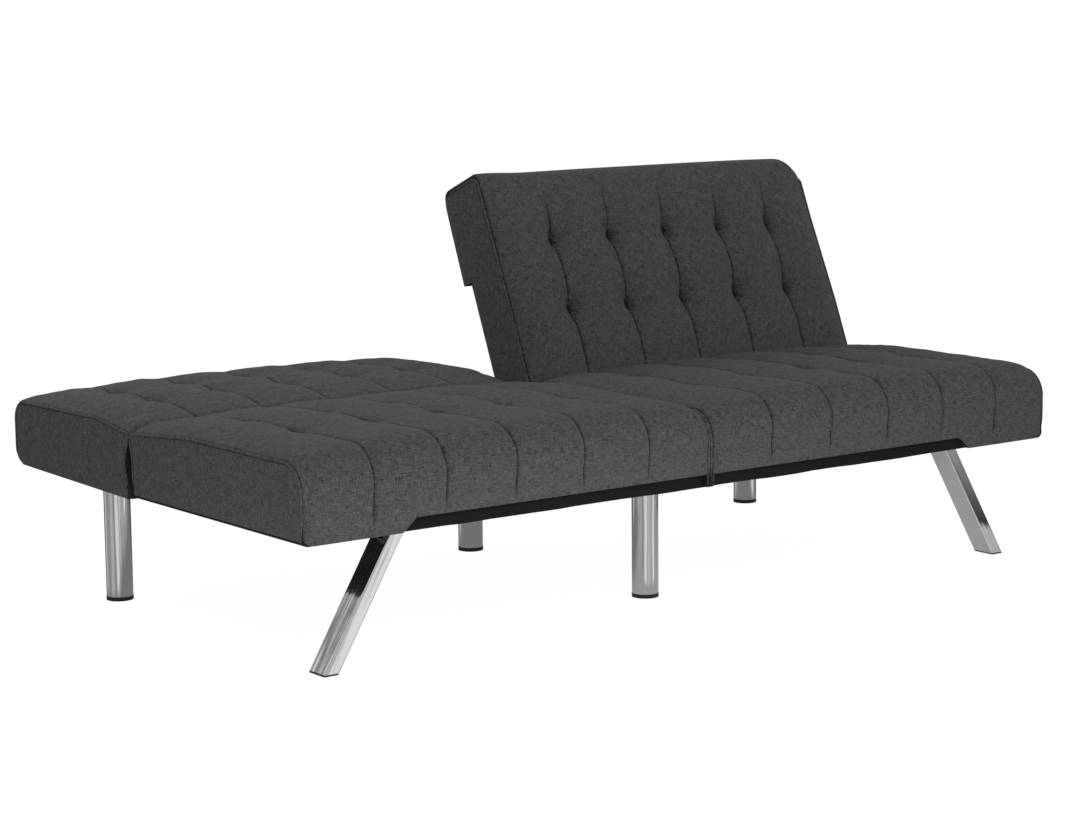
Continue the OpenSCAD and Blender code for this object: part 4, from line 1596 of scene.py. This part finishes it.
@dataclass
class Studio:
    """A white floor and background, an even soft light from all round, and the camera."""

    camera_place: tuple[float, float, float] = (-3.1654, -4.2279, 1.118)
    yaw: float = 36.936
    pitch: float = 8.733
    roll: float = -0.524
    lens: float = 91.0
    shift_x: float = -0.003

    def build(self) -> None:
        """Sets up the view, the camera, the floor and the light."""
        scene = bpy.context.scene
        scene.view_settings.view_transform = "Standard"
        scene.view_settings.look = "None"
        self.camera(scene)
        self.floor()
        self.world(scene)
        self.lamp("rear_soft_box", (-1.6, 2.4, 2.4), 46.0)
        self.lamp("front_soft_box", (-1.5, -3.3, 1.9), 50.0)
        LOG.info("studio ready")

    def camera(self, scene: bpy.types.Scene) -> None:
        """Places the camera: it looks along yaw and pitch, then rolls about its line of sight.

        Args:
            scene: The scene.
        """
        yaw, pitch, roll = (math.radians(a) for a in (self.yaw, self.pitch, self.roll))
        level = math.cos(pitch)
        forward = Vector((math.sin(yaw) * level, math.cos(yaw) * level, -math.sin(pitch)))
        right = Vector((math.cos(yaw), -math.sin(yaw), 0))
        up = right.cross(forward)
        across = right * math.cos(roll) + up * math.sin(roll)
        upward = up * math.cos(roll) - right * math.sin(roll)
        turn = Matrix((across, upward, -forward)).transposed().to_4x4()
        data = bpy.data.cameras.new("studio_camera")
        data.lens = self.lens
        data.sensor_width = 36.0
        data.shift_x = self.shift_x
        data.clip_end = 60.0
        camera = bpy.data.objects.new("studio_camera", data)
        camera.matrix_world = Matrix.Translation(self.camera_place) @ turn
        scene.collection.objects.link(camera)
        scene.camera = camera

    def floor(self) -> None:
        """A large pale floor: nearly white, with faint soft shadows; to the cloth it glows as a painted pool of
        light, and polished metal sees painted shade in it.
        """
        half = 30000.0
        points = np.array([[-half, -half, 0], [half, -half, 0], [half, half, 0], [-half, half, 0]], float)
        material = bpy.data.materials.new("white_seamless_paper")
        material.use_nodes = True
        tree = material.node_tree
        paper = tree.nodes["Principled BSDF"]
        sheet = {"Base Color": linear("#e9e9e8"), "Roughness": 0.9, "Specular IOR Level": 0.0}
        set_node(tree, paper, sheet, {})
        rays = add_node(tree, "LightPath").outputs
        place = add_node(tree, "TexCoord").outputs["Object"]
        white = add_node(tree, "Emission", {"Color": (1, 1, 1, 1), "Strength": 1.06})
        # Painted light: to the cloth the floor glows as a bright patch in front of the seat that fades towards
        # the rear.
        away = add_node(tree, "VectorMath", {"operation": "DISTANCE", 1: (-0.7, -1.5, 0)}, {0: place})
        painted_light_level = add_node(tree, "MapRange",
                         {"interpolation_type": "SMOOTHSTEP", "From Min": 0.5, "From Max": 2.3,
                          "To Min": 1.75, "To Max": 0.45}, {"Value": away.outputs["Value"]})
        painted_light_pool = add_node(tree, "Emission", {}, {"Strength": painted_light_level.outputs["Result"]})
        # Polished metal sees the studio through the floor, with painted shade in its reflections:
        # glowing patches of set brightness under the sofa bed and beside it.
        parts = add_node(tree, "SeparateXYZ", {}, {0: place}).outputs
        clear = add_node(tree, "BsdfTransparent", {})
        span = lambda value, start, end: add_node(tree, "MapRange", {"From Min": start, "From Max": end},
                                                  {"Value": value}).outputs[0]
        times = lambda a, b: add_node(tree, "Math", {"operation": "MULTIPLY"}, {0: a, 1: b}).outputs[0]
        width = add_node(tree, "Math", {"operation": "ABSOLUTE"}, {0: parts[0]}).outputs[0]
        deep = times(span(parts[1], -0.50, -0.44), span(parts[1], 0.50, 0.30))
        under = times(deep, span(width, 0.90, 0.80))
        beside = times(span(parts[1], -0.67, -0.72), span(parts[0], 0.92, 0.98))
        mirror = clear.outputs[0]
        shades = ((under, (-0.30, -0.05), (0.44, 0.24)), (beside, (-0.75, -1.5), (0.05, 0.40)))
        for mask, edges, glow in shades:
            fade = {"From Min": edges[0], "From Max": edges[1], "To Min": glow[0], "To Max": glow[1]}
            level = add_node(tree, "MapRange", fade, {"Value": parts[1]})
            shade = add_node(tree, "Emission", {}, {"Strength": level.outputs[0]}).outputs[0]
            mirror = add_node(tree, "MixShader", {}, {0: mask, 1: mirror, 2: shade}).outputs[0]
        seen = add_node(tree, "Math", {"operation": "MULTIPLY", 1: 0.93},
                        {0: rays["Is Camera Ray"]}).outputs[0]
        look = paper.outputs["BSDF"]
        for mask, other in ((rays["Is Diffuse Ray"], painted_light_pool.outputs[0]), (rays["Is Glossy Ray"], mirror),
                            (seen, white.outputs[0])):
            look = add_node(tree, "MixShader", {}, {0: mask, 1: look, 2: other}).outputs[0]
        tree.links.new(look, tree.nodes["Material Output"].inputs["Surface"])
        obj = new_piece("floor", points, np.array([[0, 1, 2, 3]]), [material])

    def world(self, scene: bpy.types.Scene) -> None:
        """White to the camera, even light to cloth, and a studio with dark gaps to polished metal.

        Args:
            scene: The scene.
        """
        world = bpy.data.worlds.new("studio")
        scene.world = world
        world.use_nodes = True
        tree = world.node_tree
        path = add_node(tree, "LightPath").outputs
        place = add_node(tree, "TexCoord").outputs["Generated"]
        parts = add_node(tree, "SeparateXYZ", {}, {0: place}).outputs
        dome = add_node(tree, "MapRange", {"From Min": -1.0, "From Max": 1.0, "To Min": 0.14, "To Max": 1.02},
                        {"Value": parts[0]}).outputs[0]
        around = add_node(tree, "Math", {"operation": "ARCTAN2"}, {0: parts[0], 1: parts[1]}).outputs[0]
        turn = add_node(tree, "MapRange", {"From Min": -math.pi, "From Max": math.pi}, {"Value": around})
        # Place round the room, in turns, and brightness of what the metal sees there.
        stops = [(0.0, 0.62), (0.03, 0.7), (0.055, 0.42), (0.072, 0.85), (0.11, 0.98), (0.14, 0.55),
                 (0.16, 0.28), (0.19, 0.45), (0.234, 0.62), (0.28, 0.4), (0.33, 0.33), (0.385, 0.42),
                 (0.41, 0.85), (0.425, 0.2), (0.44, 0.95), (0.456, 0.35), (0.48, 0.15), (0.52, 0.05),
                 (0.7, 0.05), (0.76, 0.3), (0.84, 0.4), (0.875, 0.6), (0.888, 1.02), (0.906, 1.02),
                 (0.925, 0.5), (0.96, 0.52)]
        bands = add_node(tree, "ValToRGB",
                         {"stops": [(p, (v, v, v, 1)) for p, v in stops]}, {"Fac": turn.outputs["Result"]})
        glossy = add_node(tree, "Mix", {"data_type": "RGBA"},
                          {0: path["Is Glossy Ray"], 6: dome, 7: bands.outputs["Color"]}).outputs[2]
        colour = add_node(tree, "Mix", {"data_type": "RGBA", 7: (1.02, 1.02, 1.02, 1)},
                          {0: path["Is Camera Ray"], 6: glossy})
        tree.links.new(colour.outputs[2], tree.nodes["Background"].inputs["Color"])
        tree.nodes["Background"].inputs["Strength"].default_value = 1.0

    def lamp(self, name: str, place: tuple[float, float, float], energy: float) -> None:
        """A large soft lamp that faces the middle of the sofa bed.

        Args:
            name: Name of the lamp.
            place: Where it stands.
            energy: Its power in watts.
        """
        data = bpy.data.lights.new(name, "AREA")
        data.shape = "RECTANGLE"
        data.size, data.size_y = 2.4, 1.6
        data.energy = energy
        lamp = bpy.data.objects.new(name, data)
        lamp.visible_glossy = False
        lamp.location = place
        lamp.rotation_euler = (Vector((0, 0, 0.3)) - lamp.location).to_track_quat("-Z", "Y").to_euler()
        bpy.context.scene.collection.objects.link(lamp)


# For each module: how far its back is raised, and what differs in its seat and its back.
LOOKS: dict[Side, tuple[float, dict[str, Any], dict[str, Any]]] = {
    Side.LEFT: (
        0.0,
        {"seed": 8, "slant": (643.0, 671.0)},
        {"seed": 23, "hinge_edge": 352.0, "corner": 12.0, "seam_shade": 0.38, "puff": 4.2}),
    Side.RIGHT: (
        67.5,
        {"seed": 3, "slant": (635.0, 663.0), "bevelled": 14.0},
        {"seed": 15, "hinge_edge": 364.0, "corner": 40.0, "seam_shade": 0.45, "puff": 4.8, "bevelled": 14.0,
         "drawn_in": 18.0}),
}


def main() -> None:
    """Builds the sofa bed's pieces in order, then the studio."""
    logging.basicConfig(level=logging.INFO, format="%(name)s: %(message)s")
    shop = Workshop()
    shop.dress_frame()
    for side in Side:
        word = side.name.lower()
        angle, seat_look, back_look = LOOKS[side]
        seat = SeatCushion(f"{word}_seat", f"{word}_seat_cushion", "base", side, shop, **seat_look)
        seat.set_rows(-292.0, -140.0)
        seat.build()
        back = BackCushion(f"{word}_back", f"{word}_back_cushion", f"{word}_back", side, shop, raised=angle,
                           tuft_depth=23.0, **back_look)
        back.set_rows(220.0, 366.0)
        back.build()
        BackCloth(shop, side, angle).build()
    BaseCloth(shop).build()
    for node in ("centre_front_leg", "centre_rear_leg", "left_rear_leg", "right_rear_leg"):
        RoundLeg(shop, node).build()
    for side in Side:
        AngledLeg(shop, f"{side.name.lower()}_front_leg", side).build()
    Studio().build()


if __name__ == "__main__":
    main()
